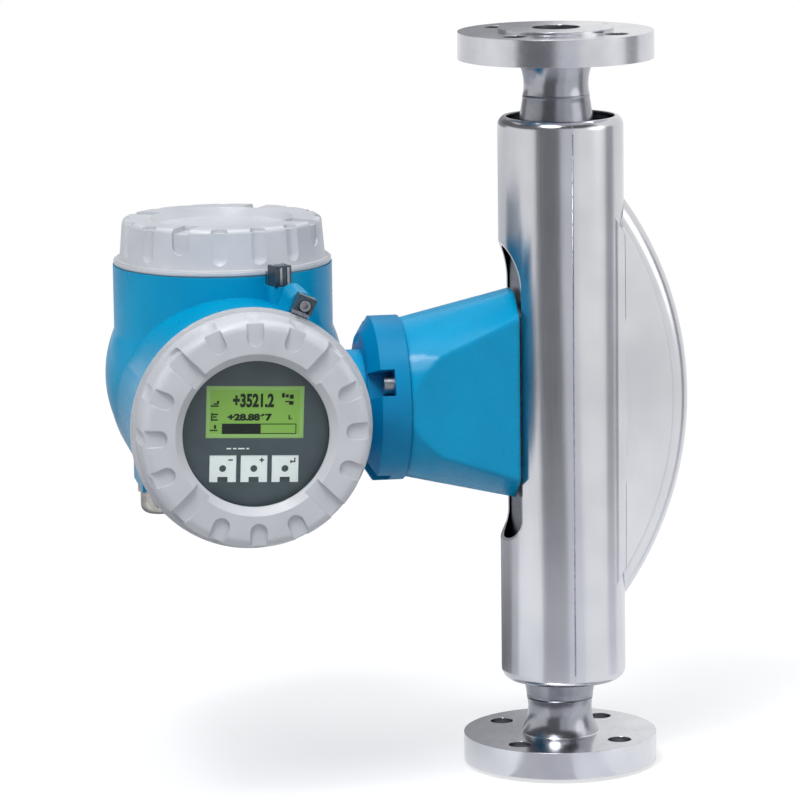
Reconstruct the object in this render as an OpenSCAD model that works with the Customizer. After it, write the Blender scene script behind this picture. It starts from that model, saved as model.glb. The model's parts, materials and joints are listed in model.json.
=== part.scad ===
// Coriolis flow meter: a twin bent-tube sensor in a steel housing between pipe flanges, with a
// side-mounted transmitter. The pipe axis is +Z, the transmitter points along -X and the display
// faces -Y. The origin is the centre of the inlet flange's sealing face. All sizes in millimetres.

/* [Pipe and flanges] */
// Face-to-face length between the two sealing faces
pipe_length = 440; // [430:1:460]
// Flange outside diameter
flange_d = 115; // [108:1:125]
// Flange thickness with the raised face
flange_thickness = 18; // [16:1:22]
// Raised face diameter
raised_face_d = 68; // [60:1:72]
// Raised face height
raised_face_height = 2; // [1:0.5:3]
// Bore of the flange and neck
pipe_bore_d = 28.5; // [24:0.5:30]
// Bolt circle diameter
bolt_circle_d = 85; // [82:1:92]
// Bolt hole diameter
bolt_hole_d = 14; // [12:0.5:16]
// Number of bolt holes
bolt_count = 4; // [4:4:8]
// Hub diameter where it leaves the flange
hub_d = 47; // [44:1:50]
// Narrowest diameter of the neck
neck_d = 38; // [36:0.5:41]
// Height of the narrowest place above the sealing face
waist_z = 33; // [31:0.5:36]
// Height of the weld between flange neck and manifold above the sealing face
weld_z = 39; // [37:0.5:42]
// How far the weld bead stands out
weld_bead = 0.9; // [0.5:0.1:1.5]

/* [Shroud tube] */
// Outside diameter of the shroud tube
shroud_d = 74; // [70:1:76]
// Distance of the shroud's axis from the pipe axis, towards the bulge
shroud_shift = 2.4; // [0:0.1:3]
// Sheet thickness of the shroud and the bulge
shroud_wall = 2; // [1.5:0.25:3]
// Height of the shroud's lower end above the sealing face
shroud_start = 52; // [50:1:56]
// Height of the turned-in end of the shroud
rolled_height = 5.5; // [4:0.5:8]
// Opening diameter left in the turned-in end
rolled_d = 68; // [62:0.5:70]
// Distance of the cut-out's edge plane from the shroud's axis
cutout_x = 28.5; // [26:0.1:31]
// Bottom of the cut-out below mid-length
cutout_below = 86; // [76:1:90]
// Top of the cut-out above mid-length
cutout_above = 95; // [84:1:98]
// Corner radius at the bottom of the cut-out
cutout_corner = 17; // [12:1:20]
// Height over which the cut-out's edge curves in at its top
cutout_sweep = 26; // [18:1:32]

/* [Bulge] */
// Reach of the bulge from the shroud's axis
bulge_reach = 75; // [72:1:80]
// Radius of the bulge's outline
bulge_radius = 204; // [195:1:215]
// Thickness of the bulge beside the tube
bulge_thickness = 44; // [40:1:48]
// Thickness of the bulge at its rim
rim_thickness = 28; // [24:1:30]
// Rounding of the rim
rim_round = 11; // [5:0.5:12]
// Fillet between the bulge and the tube
bulge_fillet = 10; // [6:1:12]

/* [Measuring tubes] */
// Outside diameter of a measuring tube
tube_d = 14; // [12:0.5:15]
// Wall of a measuring tube
tube_wall = 1; // [0.75:0.25:1.5]
// Spacing of the two tubes
tube_spacing = 17; // [16:0.5:18]
// Reach of the tubes' centre line from the pipe axis
tube_reach = 49; // [45:1:50]
// Radius of the long bend
tube_bend = 185; // [175:1:190]
// Radius of the short bends at the manifolds
tube_end_bend = 30; // [28:1:34]
// Straight length of the tubes above the manifold
tube_stub = 2; // [1:0.5:3]
// Thickness of the manifold's end plate
manifold_plate = 7; // [5:0.5:8]
// Thickness of the plates that tie the tubes together
tie_plate = 3; // [2:0.5:4]
// Diameter of a coil
coil_d = 15; // [12:0.5:16]
// Length of a coil
coil_length = 10; // [8:0.5:11]
// Diameter of a magnet
magnet_d = 7; // [6:0.5:8]
// Length of a saddle along its tube
saddle_length = 8; // [6:0.5:10]
// Width of the thermometer's saddle
thermometer = 6; // [5:0.5:7]

/* [Inner frame] */
// Distance of the frame's web from the pipe axis
frame_web_x = 22; // [21:0.5:24]
// Sheet thickness of the frame
frame_wall = 3; // [2.5:0.25:4]
// Depth of the frame's side walls
frame_depth = 24; // [20:1:26]

/* [Sensor neck] */
// Height of the neck's axis above mid-length
neck_up = 4.5; // [0:0.5:6]
// Distance of the neck's round end from the pipe axis
neck_end_x = 95.5; // [92:0.5:98]
// Diameter of the neck's round end
neck_end_d = 93; // [86:1:94]
// Height of the neck's foot
foot_height = 124; // [117:1:127]
// Depth of the neck's foot
foot_depth = 56; // [50:1:58]
// Distance of the foot's bevelled corners from the neck's axis
foot_corner = 55.5; // [50:0.5:58]
// Direction of those bevels, from the front towards the top
foot_corner_turn = 52; // [45:1:58]
// Thickness of the wall that the ring screws go into
neck_end_wall = 14; // [13:0.5:16]
// Wall of the neck casting
neck_wall = 5; // [4:0.5:6]
// Thickness of the steel pad under the foot
pad_thickness = 3; // [2:0.5:4]

/* [Swivel ring] */
// Ring outside diameter
ring_d = 97; // [92:1:99]
// Length of the ring's cylindrical part
ring_length = 17; // [15:0.5:20]
// Length of the ring's cone
ring_cone = 6; // [4:0.5:8]
// Diameter at the small end of the ring's cone
ring_cone_d = 78; // [74:1:84]
// Width of a screw pocket
pocket_width = 15.5; // [14.5:0.5:17]
// Depth of a screw pocket behind the ring's cone
pocket_length = 8.1; // [6.5:0.1:10]
// Circle of the four ring screws
ring_screw_circle = 80; // [78:0.5:81]
// Turn of the four screws from the front
ring_screw_turn = 20; // [0:1:45]
// Thread diameter of the ring screws
ring_screw_d = 6; // [5:1:7]
// Head diameter of the ring screws
ring_head_d = 11; // [10:0.5:12]
// Outside diameter of the transmitter's neck tube
swivel_d = 58; // [56:1:60]
// Diameter of the collar held under the ring
collar_d = 66; // [64:0.5:68]
// Thickness of that collar
collar_thickness = 6; // [5:0.5:8]

/* [Transmitter housing] */
// Distance of the drum's axis from the pipe axis
drum_x = 193.5; // [190:0.5:198]
// Diameter of the horizontal drum
drum_d = 132; // [131:0.5:134]
// Distance of the front seat before the pipe axis
front_seat_y = 80.5; // [74:0.5:84]
// Distance of the drum's rear behind the pipe axis
drum_rear_y = 110; // [106:1:120]
// Rounding of the drum's rear
drum_round = 46; // [42:1:54]
// Diameter of the upright drum
tower_d = 129.5; // [124:0.5:131]
// Diameter of the ball where the two drums meet
junction_d = 141; // [134:1:144]
// Height of that ball's centre above the neck's axis
junction_up = 12; // [8:1:16]
// Distance of the upright drum's axis behind the pipe axis
tower_y = 40; // [36:1:42]
// Height of the top seat above the neck's axis
tower_top = 78; // [76:1:82]
// Half width of the gland block
gland_block_half = 51; // [50:0.5:54]
// Depth of the gland block's bottom below the neck's axis
gland_block_below = 57; // [55:0.5:60]
// Bore of the front compartment
front_bore_d = 116; // [112:1:118]
// Bore of the terminal compartment
terminal_bore_d = 112; // [108:1:114]
// Thickness of the wall between the compartments
partition = 5; // [4:0.5:6]
// Distance of that wall's front face behind the pipe axis
partition_y = 8; // [6:0.5:10]
// Bore of the transmitter's neck
cable_bore_d = 36; // [30:1:40]

/* [Covers] */
// Diameter of the front cover's flange
front_flange_d = 139; // [137:1:142]
// Diameter of the front cover's side above the flange
front_side_d = 134; // [132:1:136]
// Diameter of the front cover's face
front_face_d = 131; // [128:1:132]
// Rounding between the front cover's side and its face
front_cover_round = 6; // [3:0.5:8]
// Height of the front cover
front_cover_height = 26; // [25:0.5:28]
// Diameter of the window opening
window_d = 84; // [80:1:86]
// Depth of the bevel round the window
window_bevel = 4.5; // [3:0.5:5]
// Thickness of the window
window_thickness = 5; // [4:0.5:6]
// Diameter of the terminal cover's flange
top_flange_d = 128.5; // [126:0.5:130]
// Diameter of the terminal cover's side above the flange
top_side_d = 121.5; // [119:0.5:124]
// Diameter of the terminal cover's face
top_face_d = 118; // [115:1:120]
// Rounding between the terminal cover's side and its face
top_cover_round = 3; // [2:0.5:5]
// Height of the terminal cover
top_cover_height = 27; // [24:0.5:29]
// Diameter of the dished centre of the terminal cover
top_dish_d = 84; // [78:1:88]
// Depth of that dish
top_dish_depth = 5; // [3:0.5:6]
// Thickness of a cover's flange
cover_flange = 3.5; // [3:0.5:4.5]
// Width of the four radial slots
slot_width = 10.4; // [8:0.2:12]
// Depth of the radial slots
slot_depth = 3; // [2:0.25:4]
// Length of a slot down the cover's side
slot_drop = 15; // [12:1:18]
// Radius of a finger scallop
scallop_r = 8; // [7:0.5:9]
// Depth of a finger scallop
scallop_depth = 2.25; // [1.5:0.25:3.5]
// Distance from the axis to where the dents in the front cover's face begin
dent_from = 51; // [50:0.5:54]
// Radius of a dent's round end
dent_r = 4.8; // [4:0.2:5.5]
// Depth of the dents
dent_depth = 2; // [1:0.2:2.6]
// Length of the threaded skirt
skirt_length = 12; // [10:1:14]
// Wall of the threaded skirt
skirt_wall = 4.5; // [4:0.5:5.5]
// Turn of the terminal cover about its axis
top_cover_turn = -31; // [-45:1:45]
// Section diameter of the cover seals
seal_d = 2.6; // [2:0.2:3]

/* [Clamps] */
// Width of a securing clamp
clamp_width = 10.5; // [10:0.5:14]
// Length of a securing clamp across the cover's edge
clamp_length = 12; // [11.5:0.5:16]
// Height of a securing clamp
clamp_height = 12; // [10:0.5:14]
// Angle of the front clamp from the sensor side
front_clamp_angle = 66; // [58:1:72]
// Angle of the top clamp from the front
top_clamp_angle = 20; // [16:1:30]
// Head diameter of a clamp screw
clamp_head_d = 6.4; // [5:0.2:7]
// Thread diameter of a clamp screw
clamp_screw_d = 4; // [3:0.5:4.5]

// Length of the boss behind the front clamp
front_boss_length = 36; // [30:1:40]
// Length of the boss under the top clamp
top_boss_length = 30; // [24:1:34]

/* [Display] */
// Diameter of the display module
display_d = 88; // [84:1:88]
// Clockwise turn of the display in its cover
display_turn = 2.3; // [0:0.1:4]
// Width of the liquid crystal panel
lcd_width = 56; // [50:1:58]
// Height of the liquid crystal panel
lcd_height = 30; // [26:1:32]
// Height of the panel's centre above the window's centre
lcd_up = 11.5; // [10:0.5:13]
// Width of a touch key
key_width = 15.3; // [13:0.1:16]
// Height of a touch key
key_height = 15.5; // [13:0.5:17]
// Spacing of the touch keys
key_pitch = 17.8; // [17:0.1:19]
// Depth of the keys' centre below the window's centre
key_down = 21; // [19:0.5:22]

/* [Electronics] */
// Thickness of a circuit board
board_thickness = 1.6; // [1:0.2:2.4]
// Spacing of the boards
board_pitch = 24; // [20:1:26]
// Length of the boards along the drum
board_length = 58; // [50:1:60]
// Height of the boards
board_height = 78; // [70:1:82]
// Width of the terminal block
terminal_width = 72; // [64:1:76]
// Height of the terminal block
terminal_height = 24; // [20:1:28]
// Depth of the terminal block
terminal_depth = 16; // [14:1:18]
// Number of terminals
terminal_count = 8; // [6:1:10]
// Thickness of the plates that carry boards and terminals
carrier_plate = 3; // [2:0.5:4]

/* [Cable glands] */
// Distance of the glands from the drum's axis
gland_offset = 38; // [34:0.5:39]
// Distance of the glands behind the pipe axis
gland_y = 56; // [52:0.5:58]
// Depth of the gland block from front to rear
gland_block_depth = 48; // [44:1:50]
// Diameter of the gland's thread
gland_thread_d = 20; // [16:1:20]
// Diameter of the gland's hexagon across its flats
gland_hex = 23; // [20:0.5:24]
// Diameter of the domed nut
gland_nut_d = 23.6; // [20:0.1:24]
// Length of the domed nut
gland_nut_length = 13; // [10:0.5:14]
// Length of the hexagon
gland_hex_length = 4; // [3:0.5:5]

/* [Clearances] */
// Radial running clearance of threads and turning fits
running_gap = 0.05; // [0.02:0.01:0.1]
// Gap between pieces that pass or face each other
part_gap = 0.3; // [0.2:0.05:0.5]
// Joint filled with braze between a tube and what it carries
braze_gap = 0.15; // [0.1:0.05:0.3]

/* [Hidden] */
$fn = 96;

EPS = 0.01;
mid_z = pipe_length / 2;
neck_z = mid_z + neck_up;
shroud_r = shroud_d / 2;
roll_r = (pow(rolled_height, 2) + pow(shroud_r - rolled_d / 2, 2)) / (shroud_d - rolled_d);
sweep_r = (pow(cutout_sweep, 2) + pow(shroud_r - cutout_x, 2)) / (2 * (shroud_r - cutout_x));
shroud_inner_r = shroud_r - shroud_wall;
tube_r = tube_d / 2;
bulge_centre = bulge_radius - bulge_reach;
lens_start = shroud_inner_r * 0.6;
tube_centre = tube_bend - tube_reach;
// The short and the long bend touch where their centres are the sum of their radii apart
bend_rise = sqrt(pow(tube_bend + tube_end_bend, 2) - pow(tube_centre + tube_end_bend, 2));
bend_angle = acos((tube_centre + tube_end_bend) / (tube_bend + tube_end_bend));
tube_start = mid_z - bend_rise;
manifold_top = tube_start - tube_stub;
plate_z = manifold_top - manifold_plate;
coil_drop = tube_r + coil_d / 2 + 1;
tie_angle = bend_angle * 0.9;
pickup_angle = bend_angle * 0.6;
frame_half = tube_spacing / 2 + tube_r + part_gap + frame_wall;
foot_x = frame_web_x + frame_wall + pad_thickness;
feedthrough_d = 26;
neck_seal_r = 25;
ring_screw_depth = 11;
front_seat_r = drum_d / 2 + 1.5;
front_bore_r = front_bore_d / 2;
terminal_bore_r = terminal_bore_d / 2;
front_depth = front_seat_y + partition_y;
ring_left = neck_end_x + ring_length;
ring_tip = ring_left + ring_cone;
pocket_floor = ring_left - pocket_length;
bezel_top = front_cover_height - window_bevel - 1.5;
window_bottom = bezel_top - window_thickness;
retainer_height = 4;
display_top = window_bottom - 1;
display_bottom = 2;
mount_bottom = -18;
mount_r = front_bore_r - skirt_wall - 1.5;
window_seat_r = window_d / 2 + 6;
top_skin = 9;
// A clamp stands clear of both the cover's flange and the drum behind it
front_edge_r = max(front_flange_d / 2, front_seat_r);
top_edge_r = max(top_flange_d, tower_d) / 2;
clamp_seat_z = -5;
clamp_travel = 2;
claw_thickness = 2.5;
clamp_screw_x = clamp_length * 0.55;
terminal_floor = neck_z - 28;
gland_floor = 9;
gland_pocket_d = gland_hex / cos(30) + 1;
terminal_pitch = (terminal_width - 3) / terminal_count;
ground_d = 12;
gland_inner_r = 8;
plug_r = 5.5;

// Places children with their +Z along -Y, on the front seat's centre
module at_front_seat() translate([-drum_x, -front_seat_y, neck_z]) rotate([90, 0, 0]) children();

// Places children on the top seat's centre
module at_top_seat() translate([-drum_x, tower_y, neck_z + tower_top]) children();

// Places children with their +Z along -X, on the neck's axis, measured from the pipe axis
module along_neck() translate([0, 0, neck_z]) rotate([0, -90, 0]) children();

// Mirrors children from the inlet end to the outlet end
module at_outlet() translate([0, 0, pipe_length]) mirror([0, 0, 1]) children();

module ring_shape(outer_r, inner_r, height)
    difference() {
        cylinder(r = outer_r, h = height);
        translate([0, 0, -EPS]) cylinder(r = inner_r, h = height + 2 * EPS);
    }

module rounded_rect(w, h, r)
    union() {
        square([w - 2 * r, h], center = true);
        square([w, h - 2 * r], center = true);
        for (sx = [-1, 1], sy = [-1, 1])
            translate([sx * (w / 2 - r), sy * (h / 2 - r)]) circle(r = r, $fn = 48);
    }

module hex_socket(across, depth) cylinder(d = across / cos(30), h = depth, $fn = 6);

// ---- pipe flanges and manifolds ----

// Weld neck flange: raised face, plate with bolt holes, and a hub that narrows on a round
module flange() {
    hub_r = hub_d / 2;
    narrowing = hub_r - neck_d / 2;
    hub_rise = waist_z - flange_thickness;
    round_r = (pow(narrowing, 2) + pow(hub_rise, 2)) / (2 * narrowing);
    difference() {
        rotate_extrude() {
            square([raised_face_d / 2, raised_face_height + EPS]);
            translate([0, raised_face_height])
                square([flange_d / 2, flange_thickness - raised_face_height]);
            difference() {
                square([hub_r, weld_z]);
                translate([neck_d / 2 + round_r, waist_z]) circle(r = round_r);
            }
        }
        translate([0, 0, -1]) cylinder(d = pipe_bore_d, h = weld_z + 2);
        for (i = [0 : bolt_count - 1])
            rotate((i + 0.5) * 360 / bolt_count) translate([bolt_circle_d / 2, 0, -1])
                cylinder(d = bolt_hole_d, h = flange_thickness + 2);
    }
}

// Cast flow divider: it takes over from the flange at the weld and ends in a plate for two tubes
module manifold() {
    throat_z = weld_z + pipe_bore_d / 2;
    passage_r = tube_r - tube_wall;
    splay = atan2(tube_spacing / 2, manifold_top - throat_z);
    bead_r = weld_bead * 1.6;
    difference() {
        union() {
            rotate_extrude() {
                translate([neck_d / 2 + weld_bead - bead_r, weld_z + bead_r])
                    circle(r = bead_r, $fn = 32);
                polygon([[0, weld_z], [neck_d / 2 + 0.5, weld_z],
                    [neck_d / 2 + 2.5, shroud_start], [neck_d / 2 + 7, plate_z + EPS],
                    [0, plate_z + EPS]]);
            }
            translate([shroud_shift, 0, plate_z])
                cylinder(r = shroud_inner_r, h = manifold_plate);
        }
        translate([0, 0, weld_z - 3]) cylinder(d = pipe_bore_d, h = throat_z - weld_z + 3);
        for (side = [-1, 1]) {
            translate([0, 0, throat_z - passage_r]) rotate([-side * splay, 0, 0])
                cylinder(r = passage_r, h = manifold_top - throat_z + passage_r);
            translate([0, side * tube_spacing / 2, plate_z + tube_wall])
                cylinder(r = tube_r + running_gap, h = manifold_plate);
            translate([0, side * tube_spacing / 2, plate_z - passage_r])
                cylinder(r = passage_r, h = manifold_plate);
        }
    }
}

module inlet_flange() color("#c4c7ce") flange();
module outlet_flange() color("#c4c7ce") at_outlet() flange();
module inlet_manifold() color("#b4b7be") manifold();
module outlet_manifold() color("#b4b7be") at_outlet() manifold();

// ---- measuring tubes with their coils ----

// Places children on the tubes' centre line, at an angle from mid-length, +Z along the tubes
module at_tube(angle)
    translate([-tube_centre, 0, mid_z]) rotate([0, -angle, 0]) translate([tube_bend, 0, 0])
        children();

// Solid arc of round bar about a centre in the XZ plane, from one angle up to another
module bar_arc(x, z, bend, from_angle, to_angle, r)
    translate([x, 0, z]) rotate([90, 0, 0]) rotate([0, 0, from_angle])
        rotate_extrude(angle = to_angle - from_angle) translate([bend, 0]) circle(r = r, $fn = 48);

// Long bend between two short ones and their straight ends, with a low weld bead at each joint
module tube_path(r, over = 0) {
    bar_arc(-tube_centre, mid_z, tube_bend, -bend_angle, bend_angle, r);
    for (flip = [0, 1]) translate([0, 0, flip * pipe_length]) mirror([0, 0, flip]) {
        bar_arc(tube_end_bend, tube_start, tube_end_bend, 180 - bend_angle, 180, r);
        translate([0, 0, plate_z + tube_wall - over])
            cylinder(r = r, h = tube_start - plate_z - tube_wall + over, $fn = 48);
        translate([0, 0, tube_start]) tube_weld(r);
        at_tube(-bend_angle) tube_weld(r);
    }
}

module tube_weld(r) cylinder(r = r + 0.1, h = 1, center = true, $fn = 48);

module measuring_tube(side)
    translate([0, side * tube_spacing / 2, 0]) difference() {
        tube_path(tube_r);
        tube_path(tube_r - tube_wall, EPS);
    }

module front_measuring_tube() color("#d2cfc6") measuring_tube(-1);
module rear_measuring_tube() color("#d2cfc6") measuring_tube(1);

// Stands between the tubes and is brazed to both
module tie_plate_shape(angle)
    at_tube(angle) difference() {
        translate([0, 0, -tie_plate / 2]) linear_extrude(tie_plate)
            rounded_rect(tube_d + 4, tube_spacing + tube_r, 3);
        for (side = [-1, 1]) translate([0, side * tube_spacing / 2, -tie_plate])
            cylinder(r = tube_r + braze_gap, h = 2 * tie_plate);
    }

module inlet_tie_plate() color("#a9abb0") tie_plate_shape(-tie_angle);
module outlet_tie_plate() color("#a9abb0") tie_plate_shape(tie_angle);

// Saddle on a tube, as wide as the coil, that carries a coil or a magnet beside the tube
module saddle(side, arm_y)
    difference() {
        translate([-coil_drop + coil_d / 2 - 2, min(side * tube_spacing / 2 - 3, arm_y),
            -saddle_length / 2])
            cube([coil_drop - coil_d / 2 + 2, abs(arm_y - side * tube_spacing / 2) + 3,
                saddle_length]);
        translate([0, side * tube_spacing / 2, -saddle_length])
            cylinder(r = tube_r + braze_gap, h = 2 * saddle_length);
    }

// Coil on a bobbin, on the front tube
module coil_shape(angle)
    at_tube(angle) difference() {
        union() {
            saddle(-1, -coil_length - 1);
            translate([-coil_drop, -1, 0]) rotate([90, 0, 0]) {
                cylinder(d = coil_d - 2, h = coil_length);
                cylinder(d = coil_d, h = 1.5);
                translate([0, 0, coil_length - 1.5]) cylinder(d = coil_d, h = 1.5);
            }
        }
        translate([-coil_drop, 1, 0]) rotate([90, 0, 0])
            cylinder(d = magnet_d + 2, h = coil_length + 3);
    }

// Magnet on a keeper, on the rear tube, reaching into the coil
module magnet_shape(angle)
    at_tube(angle) {
        saddle(1, 1);
        translate([-coil_drop, coil_length - 2, 0]) rotate([90, 0, 0]) {
            cylinder(d = coil_d - 2, h = 3);
            cylinder(d = magnet_d, h = coil_length + coil_length / 2);
        }
    }

module drive_coil() color("#b8762f") coil_shape(0);
module drive_magnet() color("#55585d") magnet_shape(0);
module inlet_pickup_coil() color("#b8762f") coil_shape(-pickup_angle);
module inlet_pickup_magnet() color("#55585d") magnet_shape(-pickup_angle);
module outlet_pickup_coil() color("#b8762f") coil_shape(pickup_angle);
module outlet_pickup_magnet() color("#55585d") magnet_shape(pickup_angle);

// Resistance thermometer in a saddle on the front tube
module temperature_sensor() color("#e6e4dc")
    at_tube(-tie_angle * 0.86) difference() {
        translate([-tube_r - thermometer / 2, -(tube_spacing + thermometer) / 2, -thermometer])
            cube([thermometer, thermometer, 2 * thermometer]);
        translate([0, -tube_spacing / 2, -2 * thermometer])
            cylinder(r = tube_r + braze_gap, h = 4 * thermometer);
    }

// Channel between the two manifolds, open towards the bulge, with a hole for the feedthrough
module inner_frame() color("#8d9097")
    difference() {
        translate([-frame_web_x - frame_wall, -frame_half, manifold_top])
            cube([frame_wall + frame_depth, 2 * frame_half, pipe_length - 2 * manifold_top]);
        translate([-frame_web_x, -frame_half + frame_wall, manifold_top - 1])
            cube([frame_depth + 1, 2 * (frame_half - frame_wall), pipe_length]);
        along_neck() cylinder(d = feedthrough_d, h = foot_x);
    }

// ---- shroud and bulge ----

// Half profile of the shroud tube with its turned-in ends, drawn as radius against height
module shroud_profile(inset) {
    bend_z = shroud_start + rolled_height;
    intersection() {
        translate([0, shroud_start]) square([shroud_r, pipe_length - 2 * shroud_start]);
        union() {
            translate([0, bend_z]) square([shroud_r - inset, pipe_length - 2 * bend_z]);
            for (z = [bend_z, pipe_length - bend_z]) translate([shroud_r - roll_r, z])
                circle(r = roll_r - inset);
            translate([0, bend_z - roll_r + inset])
                square([shroud_r - roll_r, pipe_length - 2 * (bend_z - roll_r + inset)]);
        }
    }
}

module tube_solid(inset) rotate_extrude() shroud_profile(inset);

// Flat lens about the centre of the bulge's outline: rim band, crease and sloping sides
module lens_solid(inset) {
    rim = bulge_radius - inset;
    rim_half = rim_thickness / 2 - inset;
    side_half = bulge_thickness / 2 - inset;
    round_r = max(rim_round - inset, 1);
    crease = rim - rim_round;
    intersection() {
        translate([-bulge_centre, 0, mid_z]) rotate([90, 0, 0]) rotate_extrude($fn = 192) {
            polygon([[0, -side_half], [bulge_centre + shroud_r, -side_half],
                [crease, -rim_half - 1], [crease, rim_half + 1],
                [bulge_centre + shroud_r, side_half], [0, side_half]]);
            translate([0, -rim_half]) square([rim - round_r, 2 * rim_half]);
            translate([0, -rim_half + round_r]) square([rim, 2 * (rim_half - round_r)]);
            for (side = [-1, 1]) translate([rim - round_r, side * (rim_half - round_r)])
                circle(r = round_r);
        }
        translate([lens_start, -shroud_d, mid_z - bulge_radius])
            cube([bulge_radius, 2 * shroud_d, 2 * bulge_radius]);
    }
}

// Concave fillets beside the tube, between its wall and the bulge's flat sides
module bulge_fillets() {
    centre_y = bulge_thickness / 2 + bulge_fillet;
    centre_x = sqrt(pow(shroud_r + bulge_fillet, 2) - pow(centre_y, 2));
    touch = shroud_r / (shroud_r + bulge_fillet);
    intersection() {
        translate([0, 0, mid_z - bulge_radius]) linear_extrude(2 * bulge_radius)
            for (side = [0, 1]) mirror([0, side]) difference() {
                polygon([[centre_x * touch, centre_y * touch],
                    [centre_x, bulge_thickness / 2 - 1],
                    [lens_start, bulge_thickness / 2 - 1]]);
                translate([centre_x, centre_y]) circle(r = bulge_fillet);
            }
        translate([-bulge_centre, shroud_r, mid_z]) rotate([90, 0, 0])
            cylinder(r = bulge_radius - rim_round - 2, h = shroud_d, $fn = 192);
    }
}

// What stands on one side of the seam plane, +1 for the bulge's side
module seam_side(side)
    translate([side > 0 ? 0 : -bulge_radius, -shroud_d, 0])
        cube([bulge_radius, 2 * shroud_d, pipe_length]);

// Outline of the cut-out that the sensor neck enters, seen along +Y
module cutout_outline() {
    low = mid_z - cutout_below;
    high = mid_z + cutout_above;
    out_x = shroud_r + 5;
    translate([-out_x, low + cutout_corner])
        square([out_x - cutout_x, high - cutout_sweep - low - cutout_corner]);
    intersection() {
        translate([-cutout_x - sweep_r, high - cutout_sweep]) circle(r = sweep_r);
        translate([-out_x, high - cutout_sweep - EPS])
            square([out_x - cutout_x, cutout_sweep + EPS]);
    }
    intersection() {
        translate([-cutout_x - cutout_corner, low + cutout_corner]) circle(r = cutout_corner);
        translate([-cutout_x - cutout_corner, low])
            square([cutout_corner, cutout_corner + EPS]);
    }
}

module shroud_shell() color("#c6c9d0")
    translate([shroud_shift, 0, 0]) difference() {
        intersection() {
            tube_solid(0);
            seam_side(-1);
        }
        tube_solid(shroud_wall);
        translate([0, 0, shroud_start - 1]) cylinder(r = rolled_d / 2 - shroud_wall,
            h = pipe_length - 2 * shroud_start + 2);
        translate([0, shroud_d, 0]) rotate([90, 0, 0]) linear_extrude(2 * shroud_d)
            cutout_outline();
    }

module bulge_shell() color("#cfd1d7")
    translate([shroud_shift, 0, 0]) difference() {
        intersection() {
            union() {
                tube_solid(0);
                lens_solid(0);
                bulge_fillets();
            }
            seam_side(1);
        }
        tube_solid(shroud_wall);
        lens_solid(shroud_wall);
        translate([0, 0, shroud_start - 1]) cylinder(r = rolled_d / 2 - shroud_wall,
            h = pipe_length - 2 * shroud_start + 2);
    }

// ---- sensor neck and swivel ----

// Steel pad between the frame and the neck's foot
module sensor_foot_pad() color("#9da0a7")
    along_neck() translate([0, 0, foot_x - pad_thickness]) difference() {
        linear_extrude(pad_thickness)
            rounded_rect(foot_height - 4 * neck_wall, 2 * frame_half - 2 * part_gap, 8);
        translate([0, 0, -1]) cylinder(d = feedthrough_d, h = pad_thickness + 2);
    }

// Sealed bushing with its pins
module feedthrough() color("#7f8187")
    along_neck() {
        translate([0, 0, frame_web_x]) cylinder(d = feedthrough_d, h = foot_x - frame_web_x + 4);
        for (i = [0 : 7]) rotate(i * 45) translate([feedthrough_d / 2 - 4, 0, frame_web_x - 5])
            cylinder(d = 1.6, h = 6, $fn = 24);
    }

// Lead from the feedthrough through the swivel's centre into the transmitter
module signal_cable() color("#2c2d31")
    along_neck() {
        translate([0, 0, foot_x + 4]) cylinder(d = 8, h = ring_tip - foot_x - 4);
        translate([0, 0, foot_x + 4]) cylinder(d = 14, h = 9);
    }

// Slab about the neck's axis whose half thickness changes from the foot to the round end
module taper_slab(foot_half, end_half, turn)
    rotate(turn) rotate([0, -90, 0]) linear_extrude(4 * neck_end_d, center = true)
        polygon([[foot_x, -foot_half], [neck_end_x, -end_half], [neck_end_x, end_half],
            [foot_x, foot_half]]);

// The neck's body: a cone from the round end, flattened at the front and rear, with bevelled
// corners that run out into the round end
module neck_body(inset) {
    end_r = neck_end_d / 2 - inset;
    intersection() {
        translate([0, 0, foot_x]) cylinder(r1 = foot_height / 2 - inset, r2 = end_r,
            h = neck_end_x - foot_x);
        taper_slab(foot_depth / 2 - inset, end_r, 0);
        taper_slab(foot_corner - inset, end_r, foot_corner_turn);
        taper_slab(foot_corner - inset, end_r, -foot_corner_turn);
    }
}

module sensor_neck() color("#0383b5")
    along_neck() difference() {
        neck_body(0);
        intersection() {
            neck_body(neck_wall);
            cylinder(d = neck_end_d, h = neck_end_x - neck_end_wall);
        }
        cylinder(d = cable_bore_d, h = ring_tip);
        translate([0, 0, neck_end_x - seal_d])
            ring_shape(neck_seal_r + seal_d / 2, neck_seal_r - seal_d / 2, seal_d + 1);
        for (i = [0 : 3]) at_ring_screw(i) translate([0, 0, neck_end_x - ring_screw_depth])
            cylinder(d = ring_screw_d, h = ring_screw_depth + 1, $fn = 32);
    }

// Places children on one ring screw's axis, in the neck's frame
module at_ring_screw(i) rotate(ring_screw_turn + 90 * i - 90)
    translate([ring_screw_circle / 2, 0, 0]) children();

module neck_seal() color("#1d1e20")
    along_neck() translate([0, 0, neck_end_x - seal_d / 2])
        rotate_extrude() translate([neck_seal_r, 0]) circle(d = seal_d, $fn = 32);

// Clamp ring that holds the transmitter's collar against the neck
module swivel_ring() color("#03749c")
    along_neck() difference() {
        union() {
            translate([0, 0, neck_end_x]) cylinder(d = ring_d, h = ring_length);
            translate([0, 0, ring_left]) cylinder(d1 = ring_d, d2 = ring_cone_d, h = ring_cone);
        }
        translate([0, 0, neck_end_x - 1])
            cylinder(r = swivel_d / 2 + running_gap, h = ring_tip - neck_end_x + 2);
        translate([0, 0, neck_end_x - 1])
            cylinder(r = collar_d / 2 + running_gap, h = collar_thickness + 1 + 2 * running_gap);
        for (i = [0 : 3]) at_ring_screw(i) {
            cylinder(d = ring_screw_d + 0.6, h = ring_tip, $fn = 32);
            translate([-ring_head_d / 2 - 1, -pocket_width / 2, pocket_floor])
                cube([ring_d, pocket_width, ring_tip]);
        }
    }

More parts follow.
